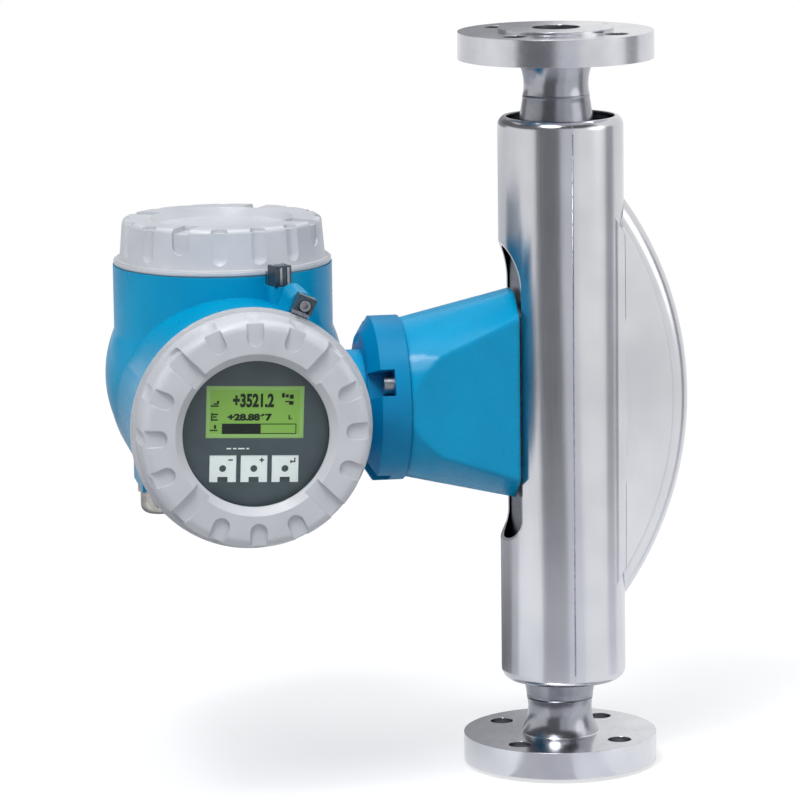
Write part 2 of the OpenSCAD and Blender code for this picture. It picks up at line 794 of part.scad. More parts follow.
module ring_screws() color("#6d7077")
    along_neck() for (i = [0 : 3]) at_ring_screw(i) difference() {
        union() {
            translate([0, 0, neck_end_x - ring_screw_depth])
                cylinder(d = ring_screw_d, h = pocket_floor - neck_end_x + ring_screw_depth + 1,
                    $fn = 32);
            translate([0, 0, pocket_floor]) cylinder(d = ring_head_d, h = ring_screw_d, $fn = 48);
        }
        translate([0, 0, pocket_floor + ring_screw_d / 2]) hex_socket(5, ring_screw_d);
    }

// ---- transmitter housing ----

// Horizontal drum with its rounded rear, in the front seat's frame
module drum_outer() {
    depth = front_seat_y + drum_rear_y;
    rotate_extrude() {
        translate([0, -depth + drum_round]) square([drum_d / 2, depth - drum_round]);
        translate([0, -depth]) square([drum_d / 2 - drum_round, drum_round]);
        intersection() {
            translate([drum_d / 2 - drum_round, -depth + drum_round]) circle(r = drum_round);
            translate([0, -depth]) square([drum_d / 2, drum_round]);
        }
        translate([0, -8]) square([front_seat_r, 8]);
    }
}

// Cast boss that a clamp sits on, in a frame with +X away from the cover's axis
module clamp_boss(edge_r, seat_z, length)
    translate([edge_r + part_gap, 0, seat_z - length]) {
        translate([clamp_length / 2, 0, 0]) cylinder(d = clamp_width + 3, h = length, $fn = 48);
        translate([-clamp_length, -clamp_width / 2 - 1, 0])
            cube([clamp_length * 1.5, clamp_width + 2, length]);
    }

module at_front_clamp() at_front_seat() rotate(front_clamp_angle) children();
module at_top_clamp() at_top_seat() rotate(top_clamp_angle - 90) children();

module clamp_screw_hole(edge_r, seat_z)
    translate([edge_r + part_gap + clamp_screw_x, 0, seat_z - 10])
        cylinder(r = clamp_screw_d / 2 + running_gap, h = 20, $fn = 48);

module housing_outer() {
    at_front_seat() drum_outer();
    intersection() {
        translate([-drum_x, tower_y, neck_z + junction_up]) sphere(d = junction_d);
        translate([-drum_x - junction_d, tower_y - junction_d, neck_z - junction_d])
            cube([2 * junction_d, 2 * junction_d, junction_d + tower_top - cover_flange * 3]);
    }
    translate([-drum_x, tower_y, neck_z]) cylinder(d = tower_d, h = tower_top);
    translate([-drum_x - gland_block_half, gland_y - gland_block_depth / 2,
        neck_z - gland_block_below])
        cube([2 * gland_block_half, gland_block_depth, gland_block_below]);
    along_neck() cylinder(d = swivel_d, h = drum_x);
    at_front_clamp() clamp_boss(front_edge_r, clamp_seat_z, front_boss_length);
    at_top_clamp() clamp_boss(top_edge_r, clamp_seat_z, top_boss_length);
}

// Space behind the front cover, for the electronics
module front_space()
    at_front_seat() translate([0, 0, -front_depth]) cylinder(r = front_bore_r,
        h = front_depth + 1);

// Space under the terminal cover; above the front compartment it is a full round
module terminal_space() {
    back_y = partition_y + partition;
    roof = neck_z + front_bore_r + partition;
    intersection() {
        translate([-drum_x, tower_y, terminal_floor]) cylinder(r = terminal_bore_r,
            h = neck_z + tower_top - terminal_floor + 1);
        union() {
            translate([-drum_x - drum_d, back_y, 0]) cube([2 * drum_d, drum_d, pipe_length]);
            translate([-drum_x - drum_d, -drum_d, roof]) cube([2 * drum_d, 3 * drum_d, drum_d]);
        }
    }
    translate([-drum_x - gland_block_half + partition,
        gland_y - gland_block_depth / 2 + partition, neck_z - gland_block_below + gland_floor])
        cube([2 * (gland_block_half - partition), gland_block_depth - 2 * partition,
            gland_block_below / 2]);
}

module transmitter_housing() color("#0383b5")
    difference() {
        union() {
            difference() {
                housing_outer();
                along_neck() cylinder(r = ring_d, h = neck_end_x + running_gap);
            }
            along_neck() translate([0, 0, neck_end_x + running_gap])
                cylinder(d = collar_d, h = collar_thickness);
        }
        front_space();
        terminal_space();
        along_neck() cylinder(d = cable_bore_d, h = drum_x - front_bore_r + 8);
        for (side = [-1, 1]) at_gland(side) {
            translate([0, 0, -gland_floor - 1])
                cylinder(d = gland_thread_d, h = gland_floor + 2);
            cylinder(d = gland_pocket_d, h = drum_d);
        }
        at_front_clamp() clamp_screw_hole(front_edge_r, clamp_seat_z);
        at_top_clamp() clamp_screw_hole(top_edge_r, clamp_seat_z);
    }

// ---- covers ----

// Screwed cover without its middle: flange, tapered side with finger scallops, slots and skirt
module cover_body(flange_r, side_r, face_r, height, edge, bore_r, slot_from, dent_start) {
    taper = atan2(side_r - face_r, height - cover_flange);
    difference() {
        union() {
            rotate_extrude() {
                square([flange_r - 1, cover_flange]);
                translate([0, 0.8]) square([flange_r, cover_flange - 1.6]);
                polygon([[0, 0], [side_r, cover_flange - EPS], [face_r, height - edge],
                    [face_r - edge, height], [0, height]]);
                translate([face_r - edge, height - edge]) circle(r = edge, $fn = 48);
            }
            translate([0, 0, -skirt_length]) cylinder(r = bore_r - running_gap,
                h = skirt_length + 1);
        }
        translate([0, 0, -skirt_length - 1])
            cylinder(r = bore_r - skirt_wall, h = skirt_length + height - top_skin);
        translate([0, 0, -seal_d - 2 * running_gap])
            ring_shape(bore_r, bore_r - seal_d - 3 * running_gap, seal_d + 2 * running_gap);
        for (i = [0 : 15]) rotate(i * 22.5) {
            if (i % 4 == 2) {
                translate([slot_from, -slot_width / 2, height - slot_depth])
                    cube([flange_r, slot_width, slot_depth + 1]);
                translate([side_r - slot_depth, 0, height - slot_drop + slot_width / 2]) {
                    rotate([0, 90, 0]) cylinder(r = slot_width / 2, h = flange_r, $fn = 48);
                    translate([0, -slot_width / 2, 0]) cube([flange_r, slot_width, height]);
                }
            } else {
                translate([dent_start + dent_r, 0, height - dent_depth]) {
                    cylinder(r = dent_r, h = dent_depth + 1, $fn = 48);
                    translate([0, -dent_r, 0]) cube([flange_r, 2 * dent_r, dent_depth + 1]);
                }
                translate([side_r + scallop_r - scallop_depth, 0, cover_flange + scallop_r])
                    rotate([0, -taper, 0]) union() {
                        cylinder(r = scallop_r, h = height, $fn = 48);
                        sphere(r = scallop_r, $fn = 48);
                    }
            }
        }
    }
}

module front_cover() color("#bec0c7")
    at_front_seat() difference() {
        cover_body(front_flange_d / 2, front_side_d / 2, front_face_d / 2, front_cover_height,
            front_cover_round, front_bore_r, window_d / 2, dent_from);
        rotate_extrude() polygon([[0, -skirt_length - 1], [window_d / 2, -skirt_length - 1],
            [window_d / 2, front_cover_height - window_bevel],
            [window_d / 2 + window_bevel + 1, front_cover_height + 1],
            [0, front_cover_height + 1]]);
        translate([0, 0, window_bottom - retainer_height])
            cylinder(r = window_seat_r, h = window_thickness + retainer_height);
    }

module cover_window() color("#dfe8ea", 0.4)
    at_front_seat() translate([0, 0, window_bottom])
        cylinder(r = window_seat_r, h = window_thickness);

module window_retainer() color("#2a2c30")
    at_front_seat() translate([0, 0, window_bottom - retainer_height])
        ring_shape(window_seat_r, display_d / 2 + part_gap, retainer_height);

module seal_ring(bore_r)
    translate([0, 0, -seal_d / 2 - running_gap]) rotate_extrude()
        translate([bore_r - running_gap * 2 - seal_d / 2, 0]) circle(d = seal_d, $fn = 32);

module front_seal() color("#1d1e20") at_front_seat() seal_ring(front_bore_r);

module terminal_cover() color("#bec0c7")
    at_top_seat() rotate(top_cover_turn - 90 - 45) difference() {
        cover_body(top_flange_d / 2, top_side_d / 2, top_face_d / 2, top_cover_height,
            top_cover_round, terminal_bore_r, top_dish_d / 2, top_face_d / 2 - dent_r);
        rotate_extrude() polygon([[0, top_cover_height - top_dish_depth],
            [top_dish_d / 2 - top_dish_depth / 2, top_cover_height - top_dish_depth],
            [top_dish_d / 2, top_cover_height + EPS], [0, top_cover_height + EPS]]);
    }

module terminal_seal() color("#1d1e20") at_top_seat() seal_ring(terminal_bore_r);

// ---- securing clamps ----

// Block that slides away from the cover's edge when its screw is loose
module clamp_block(edge_r)
    translate([edge_r + part_gap, 0, clamp_seat_z]) difference() {
        translate([claw_thickness, -clamp_width / 2, 0])
            cube([clamp_length - claw_thickness, clamp_width, clamp_height]);
        for (part = [[clamp_screw_d / 2 + 0.2, -1], [clamp_head_d / 2 + 0.3, clamp_height - 4]])
            translate([clamp_screw_x - clamp_travel, 0, part[1]]) {
                cylinder(r = part[0], h = clamp_height + 2, $fn = 48);
                translate([clamp_travel, 0, 0])
                    cylinder(r = part[0], h = clamp_height + 2, $fn = 48);
                translate([0, -part[0], 0])
                    cube([clamp_travel, 2 * part[0], clamp_height + 2]);
            }
    }

// Toothed steel strip on the side of the block that faces the cover
module claw_strip(edge_r)
    translate([edge_r + part_gap, 0, clamp_seat_z]) linear_extrude(clamp_height / 2 + 2)
        difference() {
            translate([0, -clamp_width / 2]) square([claw_thickness, clamp_width]);
            for (i = [-2 : 2]) translate([-0.4, i * clamp_width / 5.5]) rotate(45)
                square(1.6, center = true);
        }

module clamp_screw(edge_r)
    translate([edge_r + part_gap + clamp_screw_x, 0, clamp_seat_z]) difference() {
        union() {
            translate([0, 0, -9]) cylinder(d = clamp_screw_d, h = clamp_height + 6, $fn = 48);
            translate([0, 0, clamp_height - 4 + running_gap])
                cylinder(d = clamp_head_d, h = 4, $fn = 48);
        }
        translate([0, 0, clamp_height - 2]) hex_socket(3, 4);
    }

module front_clamp() color("#2d3036") at_front_clamp() clamp_block(front_edge_r);
module front_claw() color("#aeb1b5") at_front_clamp() claw_strip(front_edge_r);
module front_clamp_screw() color("#8f9298") at_front_clamp() clamp_screw(front_edge_r);
module top_clamp() color("#2d3036") at_top_clamp() clamp_block(top_edge_r);
module top_claw() color("#aeb1b5") at_top_clamp() claw_strip(top_edge_r);
module top_clamp_screw() color("#8f9298") at_top_clamp() clamp_screw(top_edge_r);

// ---- display ----

module at_display() at_front_seat() rotate(-display_turn) children();

module at_keys() for (i = [-1 : 1]) translate([i * key_pitch, -key_down, display_top - 1])
    children();

module display_bezel() color("#3f474d")
    at_display() difference() {
        translate([0, 0, display_bottom])
            cylinder(d = display_d, h = display_top - display_bottom);
        translate([-lcd_width / 2, lcd_up - lcd_height / 2, display_top - 4])
            cube([lcd_width, lcd_height, 5]);
        at_keys() translate([-key_width / 2, -key_height / 2, 0])
            cube([key_width, key_height, 2]);
    }

module lcd_panel() color("#71964f")
    at_display() translate([-lcd_width / 2, lcd_up - lcd_height / 2, display_top - 4])
        cube([lcd_width, lcd_height, 3]);

// Three light fields, each with a sensing dot and a notch at its lower edge
module touch_keys() color("#d5e0e3")
    at_display() at_keys() difference() {
        translate([-key_width / 2, -key_height / 2, 0]) cube([key_width, key_height, 0.8]);
        translate([0, 0, -1]) cylinder(r = 2, h = 3, $fn = 32);
        translate([-2.9, -key_height / 2 - 1, -1]) cube([5.8, 4, 3]);
    }

module display_board() color("#1f6b45")
    at_display() translate([0, 0, display_bottom - board_thickness])
        cylinder(d = display_d - 4, h = board_thickness);

module display_mount() color("#26282c")
    at_front_seat() {
        translate([0, 0, mount_bottom]) cylinder(r = mount_r, h = carrier_plate);
        for (i = [0 : 3]) rotate(i * 90 + 45)
            translate([display_d / 2 - 8, 0, mount_bottom])
                cylinder(r = 3, h = display_bottom - board_thickness - mount_bottom, $fn = 32);
    }

// ---- electronics ----

// Back plate with grooved rails above and below the boards
module board_carrier() color("#33363b")
    at_front_seat() {
        translate([0, 0, -front_depth]) cylinder(r = mount_r, h = carrier_plate);
        for (side = [0, 1]) mirror([0, side, 0]) difference() {
            translate([-board_pitch - 6, board_height / 2 - 2, -front_depth])
                cube([2 * board_pitch + 12, 6, front_depth + mount_bottom]);
            for (i = [-1 : 1]) translate([i * board_pitch - board_thickness / 2,
                board_height / 2 - 3, -front_depth + carrier_plate])
                cube([board_thickness, 3, front_depth]);
        }
    }

module board_shape(i)
    translate([i * board_pitch - board_thickness / 2, -board_height / 2,
        -front_depth + carrier_plate])
        cube([board_thickness, board_height, board_length]);

// A component standing on the right side of a board. Its place and its size are shares of the
// board pitch, the board's height and the board's length
module on_board(i, y, z, share)
    translate([i * board_pitch + board_thickness / 2, y * board_height,
        -front_depth + carrier_plate + z * board_length])
        cube([share[0] * board_pitch, share[1] * board_height, share[2] * board_length]);

module power_board() color("#1f6b45")
    at_front_seat() {
        board_shape(-1);
        on_board(-1, -0.38, 0.16, [0.58, 0.28, 0.45]);
        on_board(-1, 0.03, 0.19, [0.42, 0.15, 0.21]);
        translate([-board_pitch + board_thickness / 2, board_height * 0.31,
            -front_depth + board_length * 0.58])
            rotate([0, 90, 0]) cylinder(d = board_pitch / 2, h = board_pitch * 0.66, $fn = 32);
    }

module amplifier_board() color("#1f6b45")
    at_front_seat() {
        board_shape(0);
        on_board(0, -0.13, 0.29, [0.08, 0.26, 0.34]);
        on_board(0, 0.2, 0.22, [0.12, 0.18, 0.24]);
        on_board(0, -0.41, 0.62, [0.33, 0.2, 0.2]);
    }

module io_board() color("#1f6b45")
    at_front_seat() {
        board_shape(1);
        on_board(1, -0.36, 0.22, [0.37, 0.18, 0.52]);
        on_board(1, 0.05, 0.22, [0.12, 0.26, 0.17]);
    }

// Places children on the front of the partition, below the neck's axis by a drop
module at_partition(drop = 0)
    translate([-drum_x, partition_y + partition, neck_z - drop]) children();

module terminal_plate() color("#33363b")
    at_partition(terminal_height)
        translate([-terminal_width / 2 - 2 * carrier_plate, 0, 0])
            cube([terminal_width + 4 * carrier_plate, carrier_plate, terminal_height * 2.5]);

// Row of clamps with wire holes below and screw holes above
module terminal_block() color("#3f4348")
    at_partition() translate([0, carrier_plate, 0]) difference() {
        translate([-terminal_width / 2, 0, 0])
            cube([terminal_width, terminal_depth, terminal_height]);
        for (i = [0 : terminal_count - 1])
            translate([(i - (terminal_count - 1) / 2) * terminal_pitch, terminal_depth / 2, 0]) {
                translate([0, 0, -1])
                    cylinder(d = terminal_pitch / 2, h = terminal_height / 2, $fn = 32);
                translate([0, 0, terminal_height * 0.6])
                    cylinder(d = terminal_pitch * 0.58, h = terminal_height, $fn = 32);
            }
    }

module ground_terminal() color("#c8a24a")
    at_partition(terminal_height / 2) translate([0, carrier_plate, 0]) rotate([-90, 0, 0])
        difference() {
            union() {
                cylinder(d = ground_d, h = ground_d / 6);
                cylinder(d = ground_d * 0.66, h = ground_d * 0.66);
            }
            translate([-ground_d / 2, -ground_d / 20, ground_d / 2])
                cube([ground_d, ground_d / 10, ground_d]);
        }

// ---- cable glands ----

// Places children on a gland's seat with +Z pointing down, side -1 for the left one
module at_gland(side)
    translate([-drum_x + side * gland_offset, gland_y, neck_z - gland_block_below])
        mirror([0, 0, 1]) children();

module gland_body()
    difference() {
        union() {
            translate([0, 0, -gland_floor]) cylinder(d = gland_thread_d, h = gland_floor + 1);
            cylinder(d = gland_hex / cos(30), h = gland_hex_length, $fn = 6);
            cylinder(r = gland_inner_r, h = gland_hex_length + gland_nut_length - 3.5);
        }
        translate([0, 0, -gland_floor - 1])
            cylinder(r = plug_r, h = gland_floor + gland_hex_length + gland_nut_length);
    }

module gland_nut()
    translate([0, 0, gland_hex_length + running_gap]) difference() {
        rotate_extrude() {
            square([gland_nut_d / 2, gland_nut_length - 5]);
            square([gland_nut_d / 2 - 5, gland_nut_length - running_gap]);
            translate([gland_nut_d / 2 - 5, gland_nut_length - 5 - running_gap])
                circle(r = 5, $fn = 48);
        }
        translate([0, 0, -1])
            cylinder(r = gland_inner_r + running_gap, h = gland_nut_length - 0.5);
        translate([0, 0, -1]) cylinder(r = plug_r + part_gap, h = gland_nut_length + 2);
    }

// Slip ring between the plug's rim and the nut
module gland_ring()
    translate([0, 0, gland_hex_length + gland_nut_length - 3.5 + running_gap])
        ring_shape(gland_inner_r, plug_r + part_gap, 1.9);

module gland_plug()
    translate([0, 0, -gland_floor + 1])
        cylinder(r = plug_r, h = gland_floor + gland_hex_length + gland_nut_length - 2);

module left_gland_body() color("#c3c6cb") at_gland(-1) gland_body();
module left_gland_ring() color("#dddcd6") at_gland(-1) gland_ring();
module left_gland_nut() color("#c3c6cb") at_gland(-1) gland_nut();
module left_gland_plug() color("#1d1e20") at_gland(-1) gland_plug();
module right_gland_body() color("#c3c6cb") at_gland(1) gland_body();
module right_gland_ring() color("#dddcd6") at_gland(1) gland_ring();
module right_gland_nut() color("#c3c6cb") at_gland(1) gland_nut();
module right_gland_plug() color("#1d1e20") at_gland(1) gland_plug();

inlet_flange();
outlet_flange();
inlet_manifold();
outlet_manifold();
front_measuring_tube();
rear_measuring_tube();
inlet_tie_plate();
outlet_tie_plate();
drive_coil();
drive_magnet();
inlet_pickup_coil();
inlet_pickup_magnet();
outlet_pickup_coil();
outlet_pickup_magnet();
temperature_sensor();
inner_frame();
shroud_shell();
bulge_shell();
sensor_foot_pad();
feedthrough();
signal_cable();
sensor_neck();
neck_seal();
swivel_ring();
ring_screws();
transmitter_housing();
front_cover();
cover_window();
window_retainer();
front_seal();
front_clamp();
front_claw();
front_clamp_screw();
terminal_cover();
terminal_seal();
top_clamp();
top_claw();
top_clamp_screw();
display_bezel();
lcd_panel();
touch_keys();
display_board();
display_mount();
board_carrier();
power_board();
amplifier_board();
io_board();
terminal_plate();
terminal_block();
ground_terminal();
left_gland_body();
left_gland_ring();
left_gland_nut();
left_gland_plug();
right_gland_body();
right_gland_ring();
right_gland_nut();
right_gland_plug();
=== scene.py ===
import math
import json
import bmesh
import bpy
from mathutils import Matrix, Vector


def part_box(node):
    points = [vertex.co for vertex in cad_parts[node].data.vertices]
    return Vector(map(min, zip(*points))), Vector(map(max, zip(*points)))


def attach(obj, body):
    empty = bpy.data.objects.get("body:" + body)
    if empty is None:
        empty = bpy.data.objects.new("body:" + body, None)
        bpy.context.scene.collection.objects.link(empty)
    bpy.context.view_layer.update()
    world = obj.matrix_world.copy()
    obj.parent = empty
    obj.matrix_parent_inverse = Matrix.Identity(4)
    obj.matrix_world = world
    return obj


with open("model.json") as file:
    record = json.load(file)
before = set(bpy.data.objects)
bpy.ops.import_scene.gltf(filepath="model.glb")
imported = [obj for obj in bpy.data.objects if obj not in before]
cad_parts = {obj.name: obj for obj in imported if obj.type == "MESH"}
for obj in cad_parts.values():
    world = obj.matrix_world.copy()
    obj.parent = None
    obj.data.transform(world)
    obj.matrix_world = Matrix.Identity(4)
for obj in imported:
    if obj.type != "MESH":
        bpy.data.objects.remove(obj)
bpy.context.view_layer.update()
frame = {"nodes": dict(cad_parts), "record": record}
nodes = frame["nodes"]
slotOf = {part["node"]: part["material_slot"] for part in frame["record"]["subparts"]}
print("frame loaded:", len(nodes), "nodes")


def linear(code):
    parts = [int(code[i:i + 2], 16) / 255 for i in (1, 3, 5)]
    return tuple(c / 12.92 if c <= 0.04045 else ((c + 0.055) / 1.055) ** 2.4 for c in parts) + (1.0,)


# direction from the object: azimuth 0 looks at its front, 90 at its right side
def unit(azimuth, elevation):
    a = math.radians(azimuth)
    e = math.radians(elevation)
    return Vector((math.sin(a) * math.cos(e), -math.cos(a) * math.cos(e), math.sin(e)))


# adds one shader node: values for its sockets, links into them, and any other settings
def add(tree, kind, sets=None, links=None, **settings):
    node = tree.nodes.new("ShaderNode" + kind)
    for name, value in settings.items():
        setattr(node, name, value)
    for socket, value in (sets or {}).items():
        node.inputs[socket].default_value = value
    for socket, source in (links or {}).items():
        tree.links.new(source, node.inputs[socket])
    return node


view = {
    "target": (0.0, 0.0, 0.220),  # middle of the pipe, before the aim is turned aside
    "azimuth": -11.0,
    "elevation": 10.053,
    "distance": 2.868,
    "lens": 217.94,
    "aside": 1.868,  # how far the aim is turned off the pipe, in degrees
    "lift": -0.0134,
    "roll": -0.363,
    "sensor": 36,
    "clip": 60,
}


def makeCamera(spec):
    data = bpy.data.cameras.new("camera")
    data.lens = spec["lens"]
    data.sensor_width = spec["sensor"]
    data.clip_end = spec["clip"]
    camera = bpy.data.objects.new("camera", data)
    bpy.context.scene.collection.objects.link(camera)
    back = unit(spec["azimuth"], spec["elevation"])
    camera.location = Vector(spec["target"]) + back * spec["distance"]
    aim = (-back).to_track_quat("-Z", "Y").to_matrix()
    aside = Matrix.Rotation(math.radians(spec["aside"]), 3, "Y")
    lift = Matrix.Rotation(math.radians(spec["lift"]), 3, "X")
    roll = Matrix.Rotation(math.radians(spec["roll"]), 3, "Z")
    camera.rotation_euler = (aim @ aside @ lift @ roll).to_euler()
    bpy.context.scene.camera = camera


makeCamera(view)
print("camera set")


# the studio's own light: white behind everything, a softer ambient level on the object
studio = {"background": "#ffffff", "ambientColour": "#f4f7fb", "ambient": 0.60,
          "floor": "#b6b6b8", "floorGlow": 0.57, "floorSize": 14, "floorDrop": 0.0005,
          "fadeFrom": 0.5, "fadeTo": 1.4}


# rays that should meet the plain background: the camera's own, and those in metal and glass
def backgroundRays(tree):
    path = add(tree, "LightPath")
    either = add(tree, "Math", links={0: path.outputs["Is Camera Ray"], 1: path.outputs["Is Glossy Ray"]},
                 operation="ADD", use_clamp=True)
    return add(tree, "Math", links={0: either.outputs[0], 1: path.outputs["Is Transmission Ray"]},
               operation="ADD", use_clamp=True).outputs[0]


def emptyMaterial(name):
    material = bpy.data.materials.new(name)
    material.use_nodes = True
    material.node_tree.nodes.clear()
    return material, material.node_tree


# a mesh object that stands round the part and isn't one of its pieces
def stageObject(name, bm, material):
    mesh = bpy.data.meshes.new(name)
    bm.to_mesh(mesh)
    bm.free()
    mesh.materials.append(material)
    thing = bpy.data.objects.new(name, mesh)
    bpy.context.scene.collection.objects.link(thing)
    return thing


def makeWorld(spec):
    world = bpy.data.worlds.new("studioWorld")
    world.use_nodes = True
    tree = world.node_tree
    tree.nodes.clear()
    plain = add(tree, "Background", sets={"Color": linear(spec["background"]), "Strength": 1.0})
    ambient = add(tree, "Background", sets={"Color": linear(spec["ambientColour"]),
                                            "Strength": spec["ambient"]})
    mix = add(tree, "MixShader", links={0: backgroundRays(tree), 1: ambient.outputs[0],
                                        2: plain.outputs[0]})
    add(tree, "OutputWorld", links={"Surface": mix.outputs[0]})
    bpy.context.scene.world = world


# a pale floor that keeps the soft shadow near the part and runs out into the white background
def makeFloor(spec):
    material, tree = emptyMaterial("paleFloor")
    seen = backgroundRays(tree)
    strength = add(tree, "Math", sets={1: spec["floorGlow"]}, links={0: seen}, operation="MULTIPLY")
    glow = add(tree, "Emission", sets={"Color": linear(spec["background"])},
               links={"Strength": strength.outputs[0]})
    matt = add(tree, "BsdfDiffuse", sets={"Color": linear(spec["floor"])})
    near = add(tree, "AddShader", links={0: matt.outputs[0], 1: glow.outputs[0]})
    reach = add(tree, "VectorMath", links={0: add(tree, "TexCoord").outputs["Object"]},
                operation="LENGTH")
    fade = add(tree, "MapRange", sets={"From Min": spec["fadeFrom"], "From Max": spec["fadeTo"]},
               links={"Value": reach.outputs["Value"]}, interpolation_type="SMOOTHSTEP")
    away = add(tree, "Math", links={0: fade.outputs[0], 1: seen}, operation="MULTIPLY")
    white = add(tree, "Emission", sets={"Color": linear(spec["background"]), "Strength": 1.0})
    both = add(tree, "MixShader", links={0: away.outputs[0], 1: near.outputs[0], 2: white.outputs[0]})
    add(tree, "OutputMaterial", links={"Surface": both.outputs[0]})
    bm = bmesh.new()
    bmesh.ops.create_grid(bm, x_segments=1, y_segments=1, size=spec["floorSize"] / 2)
    bmesh.ops.translate(bm, vec=(0, 0, -spec["floorDrop"]), verts=bm.verts)
    stageObject("floor", bm, material)


# boards that only gloss sees, as a studio puts them round polished steel: each runs along its
# profile of (distance, height, turn) and sweeps between two azimuths; its shade moves from near to far
slant = ((0.062, 0, 0), (0.5, 0, 0), (1.4, 0, -6), (2.6, 0, -11), (3.4, 0, -11), (3.4, 2.0, -11))
boards = {
    "dark": {"from": -46, "to": 0, "profile": slant, "shades": (0.78, 0.25)},
    "beside": {"from": 0, "to": 28, "profile": slant, "shades": (1.15, 0.86)},
    "right": {"from": 78, "to": 100, "shades": (1.1, 0.5),
              "profile": ((0.2, 0, 0), (3.4, 0, 0), (3.4, 1.2, 0))},
    "leftSoft": {"from": -118, "to": -98, "profile": ((0.2, 0, 0), (3.4, 0, 0)), "shades": (0.66, 1.0)},
    "left": {"from": -178, "to": -118, "profile": ((0.2, 0, 0), (3.4, 0, 0)), "shades": (0.2, 0.8)},
    "rear": {"from": 169, "to": 232, "profile": ((3.3, 0.3, 0), (3.3, 2.0, 0)), "shades": (0.38, 0.38)},
    "canopy": {"from": -110, "to": 70, "shades": (0.12, 0.12),
               "profile": ((4.2, 2.4, 0), (3.4, 3.6, 0), (2.2, 4.4, 0), (0.4, 4.8, 0))},
    "highLeft": {"from": -160, "to": -50, "profile": ((3.2, 1.0, 0), (3.2, 2.8, 0)), "shades": (0.2, 0.2)},
}
boardTone = {"colour": "#ebecf3", "near": 0.05, "far": 1.2, "apart": 0.0005, "steps": 12}


def makeBoards(specs, tone):
    for index, (name, spec) in enumerate(specs.items()):
        material, tree = emptyMaterial("board." + name)
        reach = add(tree, "VectorMath", links={0: add(tree, "TexCoord").outputs["Object"]},
                    operation="LENGTH")
        shade = add(tree, "MapRange", links={"Value": reach.outputs["Value"]},
                    sets={"From Min": tone["near"], "From Max": tone["far"],
                          "To Min": spec["shades"][0], "To Max": spec["shades"][1]},
                    interpolation_type="SMOOTHSTEP")
        glow = add(tree, "Emission", sets={"Color": linear(tone["colour"])},
                   links={"Strength": shade.outputs[0]})
        add(tree, "OutputMaterial", links={"Surface": glow.outputs[0]})
        bm = bmesh.new()
        lift = tone["apart"] * (index + 1)  # keeps boards that overlap on the floor apart
        line = [bm.verts.new(unit(spec["from"] + turn, 0) * distance + Vector((0, 0, height + lift)))
                for distance, height, turn in spec["profile"]]
        edges = [bm.edges.new(pair) for pair in zip(line, line[1:])]
        bmesh.ops.spin(bm, geom=line + edges, cent=(0, 0, 0), axis=(0, 0, 1),
                       steps=tone["steps"], angle=math.radians(spec["to"] - spec["from"]))
        board = stageObject("board." + name, bm, material)
        board.visible_camera = False
        board.visible_diffuse = False
        board.visible_shadow = False
        board.visible_transmission = False


lamps = {
    "key": {"azimuth": -33, "elevation": 54, "distance": 3.2, "size": 1.4, "power": 37},
    "glint": {"azimuth": -36, "elevation": 62, "distance": 3.0, "size": 0.5, "power": 17},
    "top": {"azimuth": 10, "elevation": 78, "distance": 2.8, "size": 1.8, "power": 20},
    "fill": {"azimuth": 62, "elevation": 18, "distance": 3.4, "size": 2.2, "power": 11},
}
lampAim = (-0.05, 0, 0.22)  # the middle of the whole part


def makeLamps(specs, aim):
    for name, spec in specs.items():
        data = bpy.data.lights.new("lamp." + name, "AREA")
        data.shape = "DISK"
        data.size = spec["size"]
        data.energy = spec["power"]
        lamp = bpy.data.objects.new("lamp." + name, data)
        bpy.context.scene.collection.objects.link(lamp)
        back = unit(spec["azimuth"], spec["elevation"])
        lamp.location = Vector(aim) + back * spec["distance"]
        lamp.rotation_euler = (-back).to_track_quat("-Z", "Y").to_euler()


makeWorld(studio)
makeFloor(studio)
makeBoards(boards, boardTone)
makeLamps(lamps, lampAim)
print("studio built")


